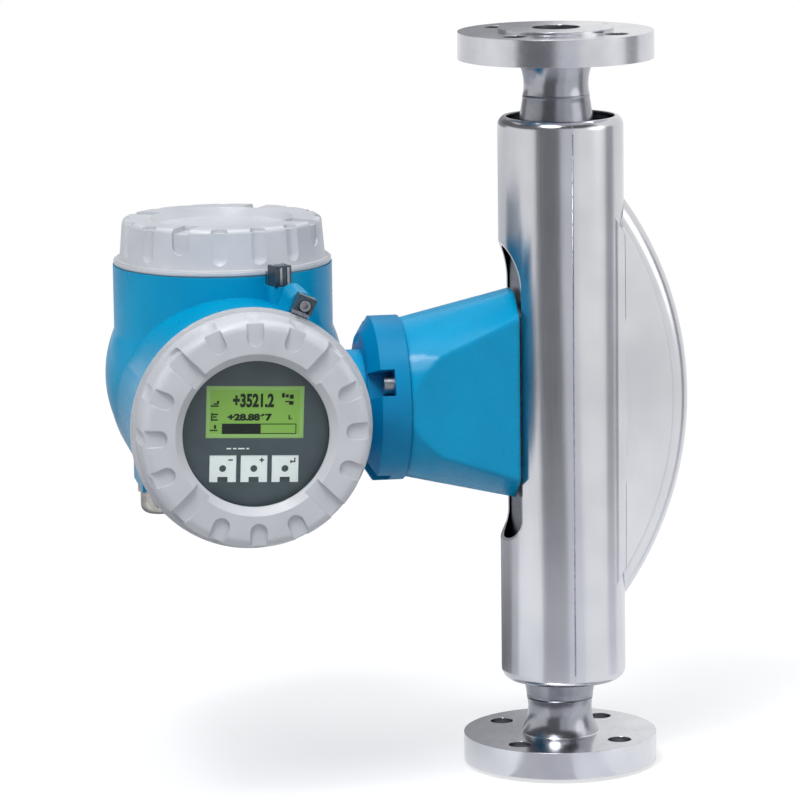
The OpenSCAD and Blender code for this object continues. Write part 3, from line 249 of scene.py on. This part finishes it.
# Every finish has three patterns, each with its grain in millimetres and how far that is drawn
# out along x, y and z: tone moves between two colours, gloss between two roughnesses, and relief
# stands up by depth. edge is the radius to which sharp edges are seen to be broken, and feelers how
# many samples that takes where it is wide.
patterns = {"detail": 2.0, "roughness": 0.55, "stops": (0.3, 0.7), "span": (0.25, 0.75), "feelers": 4}
finishes = {
    # Forged austenitic steel, turned all over: a bright face whose fine rings pull highlights
    # into fans, with a slow drift in tone
    "flange_steel": {"name": "turnedFlangeSteel", "sockets": {"Metallic": 1.0, "Anisotropic": 0.4},
                     "colours": ("#c6c7cd", "#d3d4d9"), "tone": 26, "roughness": (0.16, 0.24),
                     "gloss": 3.5, "relief": 0.6, "strength": 0.06, "depth": 0.02, "edge": 0.5},
    # Cast steel neck, machined where it shows: the flange's rings on a slightly greyer face
    "manifold_steel": {"name": "machinedManifoldSteel", "sockets": {"Metallic": 1.0, "Anisotropic": 0.3},
                       "colours": ("#85878e", "#989aa1"), "tone": 18, "roughness": (0.18, 0.27),
                       "gloss": 3, "relief": 0.6, "strength": 0.06, "depth": 0.02, "edge": 0.5},
    # Drawn and pickled tube: even and pale with a silky sheen along its run
    "tube_alloy": {"name": "drawnTubeAlloy", "sockets": {"Metallic": 1.0},
                   "colours": ("#b9b6ad", "#cfccc3"), "tone": 12, "roughness": (0.25, 0.36),
                   "gloss": 0.5, "stretch": (1, 1, 12), "relief": 0.4, "strength": 0.1,
                   "depth": 0.02, "edge": 0.3},
    # Plain steel brackets, pickled: dull grey and cloudy
    "frame_steel": {"name": "pickledFrameSteel", "sockets": {"Metallic": 1.0},
                    "colours": ("#6e7077", "#8b8e95"), "tone": 5, "roughness": (0.4, 0.52),
                    "gloss": 1, "relief": 0.9, "strength": 0.1, "depth": 0.05, "edge": 0.3},
    # Austenitic sheet, rolled and polished along its length: bright, with what it mirrors drawn
    # out into upright streaks and a faint drift in tone
    "shell_steel": {"name": "polishedShellSteel", "sockets": {"Metallic": 1.0},
                    "colours": ("#c3c4c9", "#d2d3d7"), "tone": 55, "roughness": (0.17, 0.25),
                    "gloss": 0.9, "stretch": (1, 1, 45), "relief": 0.9, "strength": 0.08,
                    "depth": 0.02, "edge": 0.6},
    # Zinc-plated screws and toothed strips: bluish grey, bright where an edge catches the light
    "screw_steel": {"name": "zincPlatedSteel", "sockets": {"Metallic": 1.0},
                    "colours": ("#85898f", "#a3a7ad"), "tone": 2.5, "roughness": (0.28, 0.42),
                    "gloss": 0.6, "relief": 0.5, "strength": 0.1, "depth": 0.04, "edge": 0.3},
    # Enamelled copper wire: amber and glossy, turns 0.6 mm apart standing up as ridges
    "coil_copper": {"name": "enamelledCoilWire",
                    "sockets": {"Metallic": 1.0, "Coat Weight": 0.6, "Coat Roughness": 0.2},
                    "colours": ("#8a4a20", "#c27a3c"), "tone": 10, "roughness": (0.28, 0.42),
                    "gloss": 1, "relief": 0.6, "strength": 0.6, "depth": 0.15, "edge": 0.2},
    # Sintered magnet, nickel flashed: dark grey and fine grained
    "magnet_metal": {"name": "sinteredMagnet", "sockets": {"Metallic": 1.0},
                     "colours": ("#54575c", "#6b6e73"), "tone": 2, "roughness": (0.35, 0.46),
                     "gloss": 0.4, "relief": 0.4, "strength": 0.1, "depth": 0.04, "edge": 0.2},
    # Fired ceramic element: chalky, cream, hardly any gloss
    "sensor_ceramic": {"name": "firedSensorCeramic", "sockets": {"IOR": 1.7},
                       "colours": ("#d9d6cc", "#ebe8df"), "tone": 4, "roughness": (0.3, 0.4),
                       "gloss": 1, "relief": 0.3, "strength": 0.1, "depth": 0.03, "edge": 0.2},
    # Polyester powder coat on die-cast aluminium: a soft highlight broken up by orange peel
    # about 1.5 mm across, and a colour that drifts a little from thick to thin film
    "housing_paint": {"name": "bluePowderCoat",
                      "sockets": {"Specular IOR Level": 0.1, "Coat Weight": 0.06, "Coat Roughness": 0.12},
                      "colours": ("#0090be", "#0098c5"), "tone": 38, "roughness": (0.26, 0.34),
                      "gloss": 9, "relief": 1.5, "strength": 0.04, "depth": 0.12, "edge": 0.9},
    # The sensor's cast neck under the same coat: its corners are blended by hand before coating
    "neck": {"name": "bluePowderCoatNeck",
             "sockets": {"Specular IOR Level": 0.12, "Coat Weight": 0.1, "Coat Roughness": 0.12},
             "colours": ("#0090bf", "#0098c7"), "tone": 38, "roughness": (0.24, 0.32),
             "gloss": 9, "relief": 1.5, "strength": 0.04, "depth": 0.12, "edge": 4.5, "feelers": 16},
    # The same coat on the machined ring, duller, its colour set a shade darker as painted shade
    "ring_paint": {"name": "shadedRingPowderCoat",
                   "sockets": {"Specular IOR Level": 0.15, "Coat Weight": 0.04, "Coat Roughness": 0.2},
                   "colours": ("#007aaa", "#0086b6"), "tone": 30, "roughness": (0.32, 0.42),
                   "gloss": 7, "relief": 1.5, "strength": 0.05, "depth": 0.12, "edge": 0.8},
    # Pale grey powder coat of the covers: flatter gloss, the same orange peel
    "cover_paint": {"name": "greyPowderCoat",
                    "sockets": {"Coat Weight": 0.15, "Coat Roughness": 0.22},
                    "colours": ("#bdbfc5", "#c9cbd0"), "tone": 34, "roughness": (0.32, 0.42),
                    "gloss": 9, "relief": 1.5, "strength": 0.09, "depth": 0.12, "edge": 0.9},
    # Toughened window glass with an anti-glare coat: clear, hardly any mirror on its face
    "window_glass": {"name": "toughenedWindowGlass",
                     "sockets": {"Transmission Weight": 1.0, "IOR": 1.25, "Specular IOR Level": 0.3},
                     "colours": ("#fbfdfd", "#fdfefe"), "tone": 20, "roughness": (0.004, 0.016),
                     "gloss": 14, "relief": 30, "strength": 0.01, "depth": 0.01, "edge": 0.2},
    # Moulded polyamide, spark-eroded tool: black and evenly dull
    "black_plastic": {"name": "mouldedBlackPolyamide", "sockets": {"IOR": 1.5},
                      "colours": ("#17181a", "#242629"), "tone": 4, "roughness": (0.45, 0.55),
                      "gloss": 1, "relief": 0.35, "strength": 0.15, "depth": 0.04, "edge": 0.3},
    # Display bezel in moulded ABS: slate grey behind the glass, with a fine grain
    "bezel_plastic": {"name": "mouldedDisplayBezel", "sockets": {"IOR": 1.5, "Specular IOR Level": 0.3},
                      "colours": ("#3b474f", "#455159"), "tone": 9, "roughness": (0.42, 0.52),
                      "gloss": 2, "relief": 0.6, "strength": 0.12, "depth": 0.04, "edge": 0.3},
    # Back-lit liquid crystal: yellow-green, lit a little from within, cells 0.45 mm apart
    "lcd_glass": {"name": "liquidCrystalPanel",
                  "sockets": {"Specular IOR Level": 0.1, "Emission Strength": 0.12},
                  "colours": ("#77a246", "#82b04f"), "tone": 26, "roughness": (0.4, 0.5),
                  "gloss": 2, "relief": 0.45, "strength": 0.05, "depth": 0.02, "edge": 0.1},
    # Screen-printed key fields on clear film: white, satin
    "key_plastic": {"name": "printedKeyField", "sockets": {"IOR": 1.5},
                    "colours": ("#f8fbfc", "#fefeff"), "tone": 5, "roughness": (0.35, 0.45),
                    "gloss": 1, "relief": 0.3, "strength": 0.06, "depth": 0.03, "edge": 0.2},
    # Glass laminate under solder mask: green, glossy, tracks stand up 1.3 mm apart
    "circuit_board": {"name": "greenSolderMask", "sockets": {"Coat Weight": 0.5, "Coat Roughness": 0.12},
                      "colours": ("#1a5135", "#1d5c3a"), "tone": 6, "roughness": (0.32, 0.45),
                      "gloss": 4, "relief": 0.8, "strength": 0.3, "depth": 0.05, "edge": 0.1},
    # Nitrile rubber seal: black, dull, a trace of bloom
    "seal_rubber": {"name": "nitrileSealRubber", "sockets": {"IOR": 1.5},
                    "colours": ("#161718", "#26282a"), "tone": 3, "roughness": (0.55, 0.68),
                    "gloss": 1, "relief": 0.3, "strength": 0.15, "depth": 0.03, "edge": 0.3},
    # Safety clamp, zinc casting painted dark: blue-black with bare metal showing on its corners
    "clamp_coating": {"name": "paintedClampCasting", "sockets": {"IOR": 1.5, "Coat Weight": 0.3,
                                                                 "Coat Roughness": 0.2},
                      "colours": ("#16222d", "#33444f"), "tone": 2.2, "roughness": (0.3, 0.46),
                      "gloss": 0.8, "relief": 0.6, "strength": 0.2, "depth": 0.05, "edge": 0.5},
    # Natural nylon ring: milky and slightly waxy
    "ring_nylon": {"name": "naturalNylon", "sockets": {"IOR": 1.53, "Subsurface Weight": 0.1},
                   "colours": ("#d2d0c6", "#e2e0d7"), "tone": 6, "roughness": (0.35, 0.45),
                   "gloss": 1, "relief": 0.3, "strength": 0.1, "depth": 0.03, "edge": 0.3},
    # Nickel-plated brass gland: a warm bright plate with fine turning marks
    "gland_nickel": {"name": "nickelPlatedBrass", "sockets": {"Metallic": 1.0},
                     "colours": ("#94938f", "#b5b3ae"), "tone": 5, "roughness": (0.14, 0.24),
                     "gloss": 1.5, "relief": 0.5, "strength": 0.06, "depth": 0.03, "edge": 0.4},
    # Tinned brass terminals: yellow with a grey bloom where the tin lies
    "terminal_brass": {"name": "tinnedTerminalBrass", "sockets": {"Metallic": 1.0},
                       "colours": ("#a98a4e", "#c9a968"), "tone": 2.5, "roughness": (0.25, 0.36),
                       "gloss": 0.5, "relief": 0.5, "strength": 0.1, "depth": 0.04, "edge": 0.2},
    # Driven liquid crystal segments: dark green, just above the panel
    "ink": {"name": "displayInk", "sockets": {"Specular IOR Level": 0.05},
            "colours": ("#0a1a08", "#122612"), "tone": 3, "roughness": (0.45, 0.55),
            "gloss": 1, "relief": 0.3, "strength": 0.05, "depth": 0.01, "edge": 0.05},
    # The filled bar reads bluer and denser than the digits
    "barInk": {"name": "displayBarInk", "sockets": {"Specular IOR Level": 0.05},
               "colours": ("#04140d", "#0a1d15"), "tone": 3, "roughness": (0.45, 0.55),
               "gloss": 1, "relief": 0.3, "strength": 0.05, "depth": 0.01, "edge": 0.05},
    # Clear edge of the panel, where the lamp behind shows through
    "clearEdge": {"name": "panelClearEdge", "sockets": {"Specular IOR Level": 0.3, "Emission Strength": 0.12},
                  "colours": ("#8fb863", "#9ac270"), "tone": 20, "roughness": (0.4, 0.5),
                  "gloss": 2, "relief": 0.45, "strength": 0.05, "depth": 0.01, "edge": 0.05},
    # Fused seam in the shell's steel: a thin line left blue-grey by the weld's heat
    "weldBead": {"name": "heatTintedWeld", "sockets": {"Metallic": 1.0},
                 "colours": ("#9096a4", "#aeb3bf"), "tone": 4, "roughness": (0.26, 0.38),
                 "gloss": 1, "relief": 0.7, "strength": 0.3, "depth": 0.05, "edge": 0.05},
    # Screen ink of the key signs: dark slate
    "keyInk": {"name": "keyInk", "sockets": {"IOR": 1.5},
               "colours": ("#2f3940", "#3b464d"), "tone": 2, "roughness": (0.45, 0.55),
               "gloss": 1, "relief": 0.3, "strength": 0.05, "depth": 0.01, "edge": 0.05},
}


def makeFinish(spec, shared):
    material, tree = emptyMaterial(spec["name"])
    shader = add(tree, "BsdfPrincipled", sets=spec["sockets"], name="shader")
    add(tree, "OutputMaterial", links={"Surface": shader.outputs[0]}, name="output")
    place = add(tree, "TexCoord", name="place").outputs["Object"]
    noise = {}
    for use in ("tone", "gloss", "relief"):
        stretch = (1, 1, 1) if use == "tone" else spec.get("stretch", (1, 1, 1))
        scale = [1000 / (spec[use] * s) for s in stretch]
        mapped = add(tree, "Mapping", sets={"Scale": scale}, links={"Vector": place})
        grain = add(tree, "TexNoise", links={"Vector": mapped.outputs[0]},
                    sets={"Scale": 1.0, "Detail": shared["detail"], "Roughness": shared["roughness"]})
        noise[use] = grain.outputs["Fac"]
    ramp = add(tree, "ValToRGB", links={"Fac": noise["tone"]}, name="tone")
    for stop, position, colour in zip(ramp.color_ramp.elements, shared["stops"], spec["colours"]):
        stop.position = position
        stop.color = linear(colour)
    tree.links.new(ramp.outputs["Color"], shader.inputs["Base Color"])
    rough = add(tree, "MapRange", links={"Value": noise["gloss"]},
                sets={"From Min": shared["span"][0], "From Max": shared["span"][1],
                      "To Min": spec["roughness"][0], "To Max": spec["roughness"][1]})
    tree.links.new(rough.outputs[0], shader.inputs["Roughness"])
    soft = add(tree, "Bevel", sets={"Radius": spec["edge"] / 1000},
               samples=spec.get("feelers", shared["feelers"]))
    bump = add(tree, "Bump", sets={"Strength": spec["strength"], "Distance": spec["depth"] / 1000},
               links={"Height": noise["relief"], "Normal": soft.outputs[0]}, name="relief")
    tree.links.new(bump.outputs[0], shader.inputs["Normal"])
    return material


finishOf = {slot: makeFinish(spec, patterns) for slot, spec in finishes.items()}


# turning rings about the pipe's axis: marks 0.5 mm apart, drawn coarser than a real feed so that
# they show, and a grain direction that runs round with them
def turnRings(material, feed):
    tree = material.node_tree
    place = tree.nodes["place"].outputs["Object"]
    flat = add(tree, "VectorMath", sets={1: (1, 1, 0)}, links={0: place}, operation="MULTIPLY")
    radius = add(tree, "VectorMath", links={0: flat.outputs[0]}, operation="LENGTH")
    level = add(tree, "SeparateXYZ", links={0: place})
    path = add(tree, "Math", links={0: radius.outputs["Value"], 1: level.outputs["Z"]}, operation="ADD")
    turns = add(tree, "Math", sets={1: 2000 * math.pi / feed}, links={0: path.outputs[0]},
                operation="MULTIPLY")
    marks = add(tree, "Math", links={0: turns.outputs[0]}, operation="SINE")
    tree.links.new(marks.outputs[0], tree.nodes["relief"].inputs["Height"])
    across = add(tree, "VectorMath", sets={0: (0, 0, 1)}, links={1: flat.outputs[0]},
                 operation="CROSS_PRODUCT")
    along = add(tree, "VectorMath", links={0: across.outputs[0]}, operation="NORMALIZE")
    tree.links.new(along.outputs[0], tree.nodes["shader"].inputs["Tangent"])


# the coil's turns lie side by side along the bobbin's axis, which is Y
def windCoil(material, pitch):
    tree = material.node_tree
    along = add(tree, "SeparateXYZ", links={0: tree.nodes["place"].outputs["Object"]})
    turns = add(tree, "Math", sets={1: 2000 * math.pi / pitch}, links={0: along.outputs["Y"]},
                operation="MULTIPLY")
    ridge = add(tree, "Math", links={0: turns.outputs[0]}, operation="SINE")
    tree.links.new(ridge.outputs[0], tree.nodes["relief"].inputs["Height"])


def layTracks(material, pitch):
    tree = material.node_tree
    tracks = add(tree, "TexBrick", links={"Vector": tree.nodes["place"].outputs["Object"]},
                 sets={"Scale": 1000 / pitch, "Mortar Size": 0.05, "Brick Width": 2.2, "Row Height": 0.7,
                       "Color1": linear("#1d5c3a"), "Color2": linear("#1a5135"),
                       "Mortar": linear("#3f8a55")})
    tree.links.new(tracks.outputs["Color"], tree.nodes["shader"].inputs["Base Color"])
    tree.links.new(tracks.outputs["Fac"], tree.nodes["relief"].inputs["Height"])


# the window lets the lamps' light through to the display behind it
def clearGlass(material, tint):
    tree = material.node_tree
    path = add(tree, "LightPath")
    through = add(tree, "Math", operation="MAXIMUM",
                  links={0: path.outputs["Is Shadow Ray"], 1: path.outputs["Is Diffuse Ray"]})
    clear = add(tree, "BsdfTransparent", sets={"Color": linear(tint)})
    mix = add(tree, "MixShader", links={0: through.outputs[0], 1: tree.nodes["shader"].outputs[0],
                                        2: clear.outputs[0]})
    tree.links.new(mix.outputs[0], tree.nodes["output"].inputs["Surface"])


# the panel's cells as a fine check over its tone, lit from behind in the same green
def lightCells(material, pitch, colours):
    tree = material.node_tree
    cells = add(tree, "TexChecker", links={"Vector": tree.nodes["place"].outputs["Object"]},
                sets={"Scale": 1000 / pitch, "Color1": linear(colours[0]), "Color2": linear(colours[1])})
    tree.links.new(cells.outputs["Color"], tree.nodes["shader"].inputs["Base Color"])
    tree.links.new(tree.nodes["tone"].outputs["Color"], tree.nodes["shader"].inputs["Emission Color"])


# painted reflection: the necks between flange and pipe get a darker base colour than the turned discs,
# standing in for the dark surroundings they mirror: inside this radius, and within reach of the pipe's
# middle, in metres
neckZone = {"radius": 0.0240, "middle": 0.220, "reach": 0.2015}


def darkenNeck(material, zone, shade):
    tree = material.node_tree
    place = tree.nodes["place"].outputs["Object"]
    flat = add(tree, "VectorMath", sets={1: (1, 1, 0)}, links={0: place}, operation="MULTIPLY")
    radius = add(tree, "VectorMath", links={0: flat.outputs[0]}, operation="LENGTH")
    slim = add(tree, "Math", sets={1: zone["radius"]}, links={0: radius.outputs["Value"]},
               operation="LESS_THAN")
    level = add(tree, "SeparateXYZ", links={0: place})
    inside = add(tree, "Math", sets={1: zone["middle"], 2: zone["reach"]},
                 links={0: level.outputs["Z"]}, operation="COMPARE")
    both = add(tree, "Math", links={0: slim.outputs[0], 1: inside.outputs[0]}, operation="MULTIPLY")
    mix = add(tree, "Mix", sets={7: linear(shade)}, data_type="RGBA", blend_type="MULTIPLY",
              links={0: both.outputs[0], 6: tree.nodes["tone"].outputs[0]})
    tree.links.new(mix.outputs[2], tree.nodes["shader"].inputs["Base Color"])


# the necks' darker base colour is painted reflection, not a different steel
darkenNeck(finishOf["flange_steel"], neckZone, "#c6c7ca")
turnRings(finishOf["flange_steel"], 0.5)
turnRings(finishOf["manifold_steel"], 0.7)
windCoil(finishOf["coil_copper"], 0.6)
layTracks(finishOf["circuit_board"], 1.3)
clearGlass(finishOf["window_glass"], "#f4f8f6")
lightCells(finishOf["lcd_glass"], 0.45, ("#8bba52", "#85b14d"))
lightCells(finishOf["clearEdge"], 0.45, ("#96bf6b", "#90b865"))


# the CAD nodes keep their shape: loose triangles are joined for shading and split at real edges
ownFinish = {"sensor_neck": "neck"}
shading = {"weld": 0.004, "split": 28}  # millimetres, degrees


def dressNodes(spec):
    for name, node in nodes.items():
        node.data.materials.clear()
        node.data.materials.append(finishOf[ownFinish.get(name, slotOf[name])])
        node.data.polygons.foreach_set("use_smooth", [True] * len(node.data.polygons))
        weld = node.modifiers.new("weld", "WELD")
        weld.merge_threshold = spec["weld"] / 1000
        split = node.modifiers.new("edges", "EDGE_SPLIT")
        split.split_angle = math.radians(spec["split"])


dressNodes(shading)
print("nodes dressed")


# a piece of the part that only the scene has
def addPiece(name, bm, finish, body):
    mesh = bpy.data.meshes.new(name)
    bm.to_mesh(mesh)
    bm.free()
    mesh.materials.append(finishOf[finish])
    piece = bpy.data.objects.new(name, mesh)
    bpy.context.scene.collection.objects.link(piece)
    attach(piece, body)


def addSolid(name, bm, finish, body, smooth=False):
    bmesh.ops.recalc_face_normals(bm, faces=bm.faces)
    for face in bm.faces:
        face.smooth = smooth
    addPiece(name, bm, finish, body)


# what the display shows, in millimetres from the panel's middle: digits only, a bar and plain marks
display = {
    "turn": 2.3,  # how far the transmitter's display is turned on its drum, in degrees
    "up": 11.5,  # the panel's middle above the drum's axis
    "width": 56, "height": 30, "edge": 2.3,
    "ink": 0.08,  # how far the segments stand before the panel
    "large": {"digits": "+3521.2", "width": 23.5, "height": 8.0, "at": (-1.0, 6.6), "bold": 0.045},
    "small": {"digits": "+28.8867", "width": 25.5, "height": 4.3, "at": (-2.9, -3.0), "bold": 0.06},
    "barFull": (-7.6, -9.7, 22.2, 6.0),  # middle across and up, width, height
    "barEmpty": (13.6, -9.7, 20.0, 6.0),
    "barLine": 0.5,
    # a slope, a flow and a level mark at the left, plain strokes where units would stand: each is
    # middle across and up, width, height
    "marks": ((-23.0, 3.4, 4.6, 0.8), (-22.4, 4.6, 2.6, 0.8), (-21.2, 5.6, 1.2, 1.6), (-24.6, -2.9, 0.8, 4.6),
              (-22.6, -1.4, 3.2, 0.8), (-22.9, -2.9, 2.2, 0.8), (-22.6, -4.6, 3.2, 0.8),
              (-22.6, -8.6, 1.2, 2.2), (-23.4, -10.6, 4.4, 0.8), (16.0, 9.6, 1.6, 2.6), (18.2, 9.2, 1.8, 1.8),
              (20.8, 8.8, 2.2, 2.4), (18.2, 6.0, 2.2, 0.8), (20.6, 5.2, 2.6, 2.2), (19.6, -3.0, 0.8, 2.6),
              (20.4, -4.0, 1.8, 0.6)),
}


# the display's own place: across, out of the drum's axis, and how far towards the viewer
def placeOnDrum(bm, verts, face):
    low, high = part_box("display_bezel")
    turn = Matrix.Rotation(math.radians(display["turn"]), 4, "Y")
    place = Matrix.Translation(((low.x + high.x) / 2, face, (low.z + high.z) / 2))
    bmesh.ops.transform(bm, matrix=place @ turn @ Matrix.Scale(0.001, 4), verts=verts)


# adds a flat slab: its middle, size and thickness in millimetres on the drum's face
def slab(bm, across, up, width, height, thickness, face):
    made = bmesh.ops.create_cube(bm, size=1.0)["verts"]
    bmesh.ops.scale(bm, vec=(width, thickness, height), verts=made)
    bmesh.ops.translate(bm, vec=(across, -thickness / 2, up), verts=made)
    placeOnDrum(bm, made, face)


def makeReading(name, spec):
    curve = bpy.data.curves.new(name, "FONT")
    curve.body = spec["digits"]
    curve.offset = spec["bold"]
    holder = bpy.data.objects.new(name, curve)
    bpy.context.scene.collection.objects.link(holder)
    bpy.context.view_layer.update()
    flat = bpy.data.meshes.new_from_object(holder.evaluated_get(bpy.context.evaluated_depsgraph_get()))
    bpy.data.objects.remove(holder)
    bm = bmesh.new()
    bm.from_mesh(flat)
    bpy.data.meshes.remove(flat)
    bmesh.ops.remove_doubles(bm, verts=bm.verts, dist=0.0001)
    across = [v.co.x for v in bm.verts]
    up = [v.co.y for v in bm.verts]
    middle = Vector(((min(across) + max(across)) / 2, (min(up) + max(up)) / 2, 0))
    bmesh.ops.translate(bm, vec=-middle, verts=bm.verts)
    fit = (spec["width"] / (max(across) - min(across)), spec["height"] / (max(up) - min(up)), 1)
    bmesh.ops.scale(bm, vec=fit, verts=bm.verts)
    bmesh.ops.rotate(bm, matrix=Matrix.Rotation(math.radians(90), 3, "X"), verts=bm.verts)
    bmesh.ops.translate(bm, vec=(spec["at"][0], -display["ink"], display["up"] + spec["at"][1]),
                        verts=bm.verts)
    placeOnDrum(bm, bm.verts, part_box("lcd_panel")[0].y)
    addPiece(name, bm, "ink", "transmitter")


def makeDisplay(spec):
    makeReading("largeReading", spec["large"])
    makeReading("smallReading", spec["small"])
    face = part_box("lcd_panel")[0].y
    up = spec["up"]
    bm = bmesh.new()
    across, level, width, height = spec["barFull"]
    slab(bm, across, up + level, width, height, spec["ink"], face)
    addSolid("filledBar", bm, "barInk", "transmitter")
    bm = bmesh.new()
    across, level, width, height = spec["barEmpty"]
    line = spec["barLine"]
    for side in (-1, 1):
        slab(bm, across, up + level + side * (height - line) / 2, width, line, spec["ink"], face)
    slab(bm, across + width / 2, up + level, line, height, spec["ink"], face)
    for across, level, width, height in spec["marks"]:
        slab(bm, across, up + level, width, height, spec["ink"], face)
    addSolid("displayMarks", bm, "ink", "transmitter")
    bm = bmesh.new()
    edge = spec["edge"]
    for side in (-1, 1):
        slab(bm, side * (spec["width"] - edge) / 2, up, edge, spec["height"], spec["ink"] / 2, face)
        slab(bm, 0, up + side * (spec["height"] - edge) / 2, spec["width"] - 2 * edge, edge,
             spec["ink"] / 2, face)
    addSolid("panelEdge", bm, "clearEdge", "transmitter")


makeDisplay(display)
print("display drawn")


# what is printed on the key fields: minus, plus and an enter arrow, each by its field's corner,
# and over them a row of dashes where a caption would stand
keys = {"down": 21, "pitch": 17.8, "line": 0.8, "corner": (4.4, 5.0), "ink": 0.08,
        "sign": 2.6,  # how long the strokes of minus and plus are
        # the arrow's strokes, from the sign's middle: middle across and up, width, height
        "arrow": ((0, -0.9, 2.2, 0.8), (1.1, 0, 0.8, 2.6), (-1.1, -0.9, 0.8, 1.8)),
        "dashes": ((-14.6, 2.6), (-11.2, 2.0), (-7.4, 3.6), (-3.8, 1.6)), "dashUp": -9.4}


def makeKeyMarks(spec):
    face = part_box("touch_keys")[0].y
    line = spec["line"]
    minus = (0, 0, spec["sign"], line)
    upright = (0, 0, line, spec["sign"])
    middle = spec["corner"][1] - spec["down"]
    bm = bmesh.new()
    for i, strokes in ((-1, (minus,)), (0, (minus, upright)), (1, spec["arrow"])):
        corner = i * spec["pitch"] + spec["corner"][0]
        for across, up, width, height in strokes:
            slab(bm, corner + across, middle + up, width, height, spec["ink"], face)
    addSolid("keyMarks", bm, "keyInk", "transmitter")
    bm = bmesh.new()
    for across, width in spec["dashes"]:
        slab(bm, across, spec["dashUp"], width, line, spec["ink"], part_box("display_bezel")[0].y)
    addSolid("bezelDashes", bm, "key_plastic", "transmitter")


makeKeyMarks(keys)
print("keys marked")


# the top clamp's cast block has two steel ribs let into its outer face, all in millimetres
ribs = {"turn": -70, "out": 4.75, "across": (-1.7, 3.0), "width": 1.8, "height": 10.4, "rise": 0.6,
        "round": 0.25}


def makeClampRibs(spec):
    low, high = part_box("top_clamp")
    bm = bmesh.new()
    for across in spec["across"]:
        made = bmesh.ops.create_cube(bm, size=1.0)["verts"]
        bmesh.ops.scale(bm, vec=(2 * spec["rise"], spec["width"], spec["height"]), verts=made)
        bmesh.ops.translate(bm, vec=(spec["out"], across, 0), verts=made)
    bmesh.ops.bevel(bm, geom=bm.verts[:] + bm.edges[:], offset=spec["round"], affect="EDGES", segments=3,
                    profile=0.5, material=-1)
    turn = Matrix.Rotation(math.radians(spec["turn"]), 4, "Z") @ Matrix.Scale(0.001, 4)
    bmesh.ops.transform(bm, matrix=Matrix.Translation((low + high) / 2) @ turn, verts=bm.verts)
    addSolid("topClampRibs", bm, "screw_steel", "top_clamp")


makeClampRibs(ribs)
print("clamp ribs set")


# weld bead and tack spots along the seam of the two half shells, front and rear, in millimetres
seam = {"from": 59, "to": 381, "count": 40, "radius": 0.65, "rise": 0.16, "bead": 0.45, "beadRise": 0.1}


def makeSeam(spec):
    low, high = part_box("shroud_shell")
    join = high.x  # the rear half shell ends at the seam
    spots = bmesh.new()
    bead = bmesh.new()
    run = spec["to"] - spec["from"]
    for face in (low.y, high.y):
        made = bmesh.ops.create_cone(bead, segments=16, radius1=1, radius2=1, depth=run / 1000,
                                     cap_ends=True)["verts"]
        bmesh.ops.scale(bead, vec=(spec["bead"] / 1000, spec["beadRise"] / 1000, 1), verts=made)
        bmesh.ops.translate(bead, vec=(join, face, (spec["from"] + run / 2) / 1000), verts=made)
        for i in range(spec["count"]):
            level = spec["from"] + run * (i + 0.5) / spec["count"]
            made = bmesh.ops.create_uvsphere(spots, u_segments=12, v_segments=8, radius=0.001)["verts"]
            bmesh.ops.scale(spots, vec=(spec["radius"], spec["rise"], spec["radius"]), verts=made)
            bmesh.ops.translate(spots, vec=(join, face, level / 1000), verts=made)
    addSolid("seamBead", bead, "weldBead", "sensor", smooth=True)
    addSolid("seamSpots", spots, "weldBead", "sensor", smooth=True)


makeSeam(seam)
print("seam welded")

bpy.context.scene.view_settings.view_transform = "Standard"
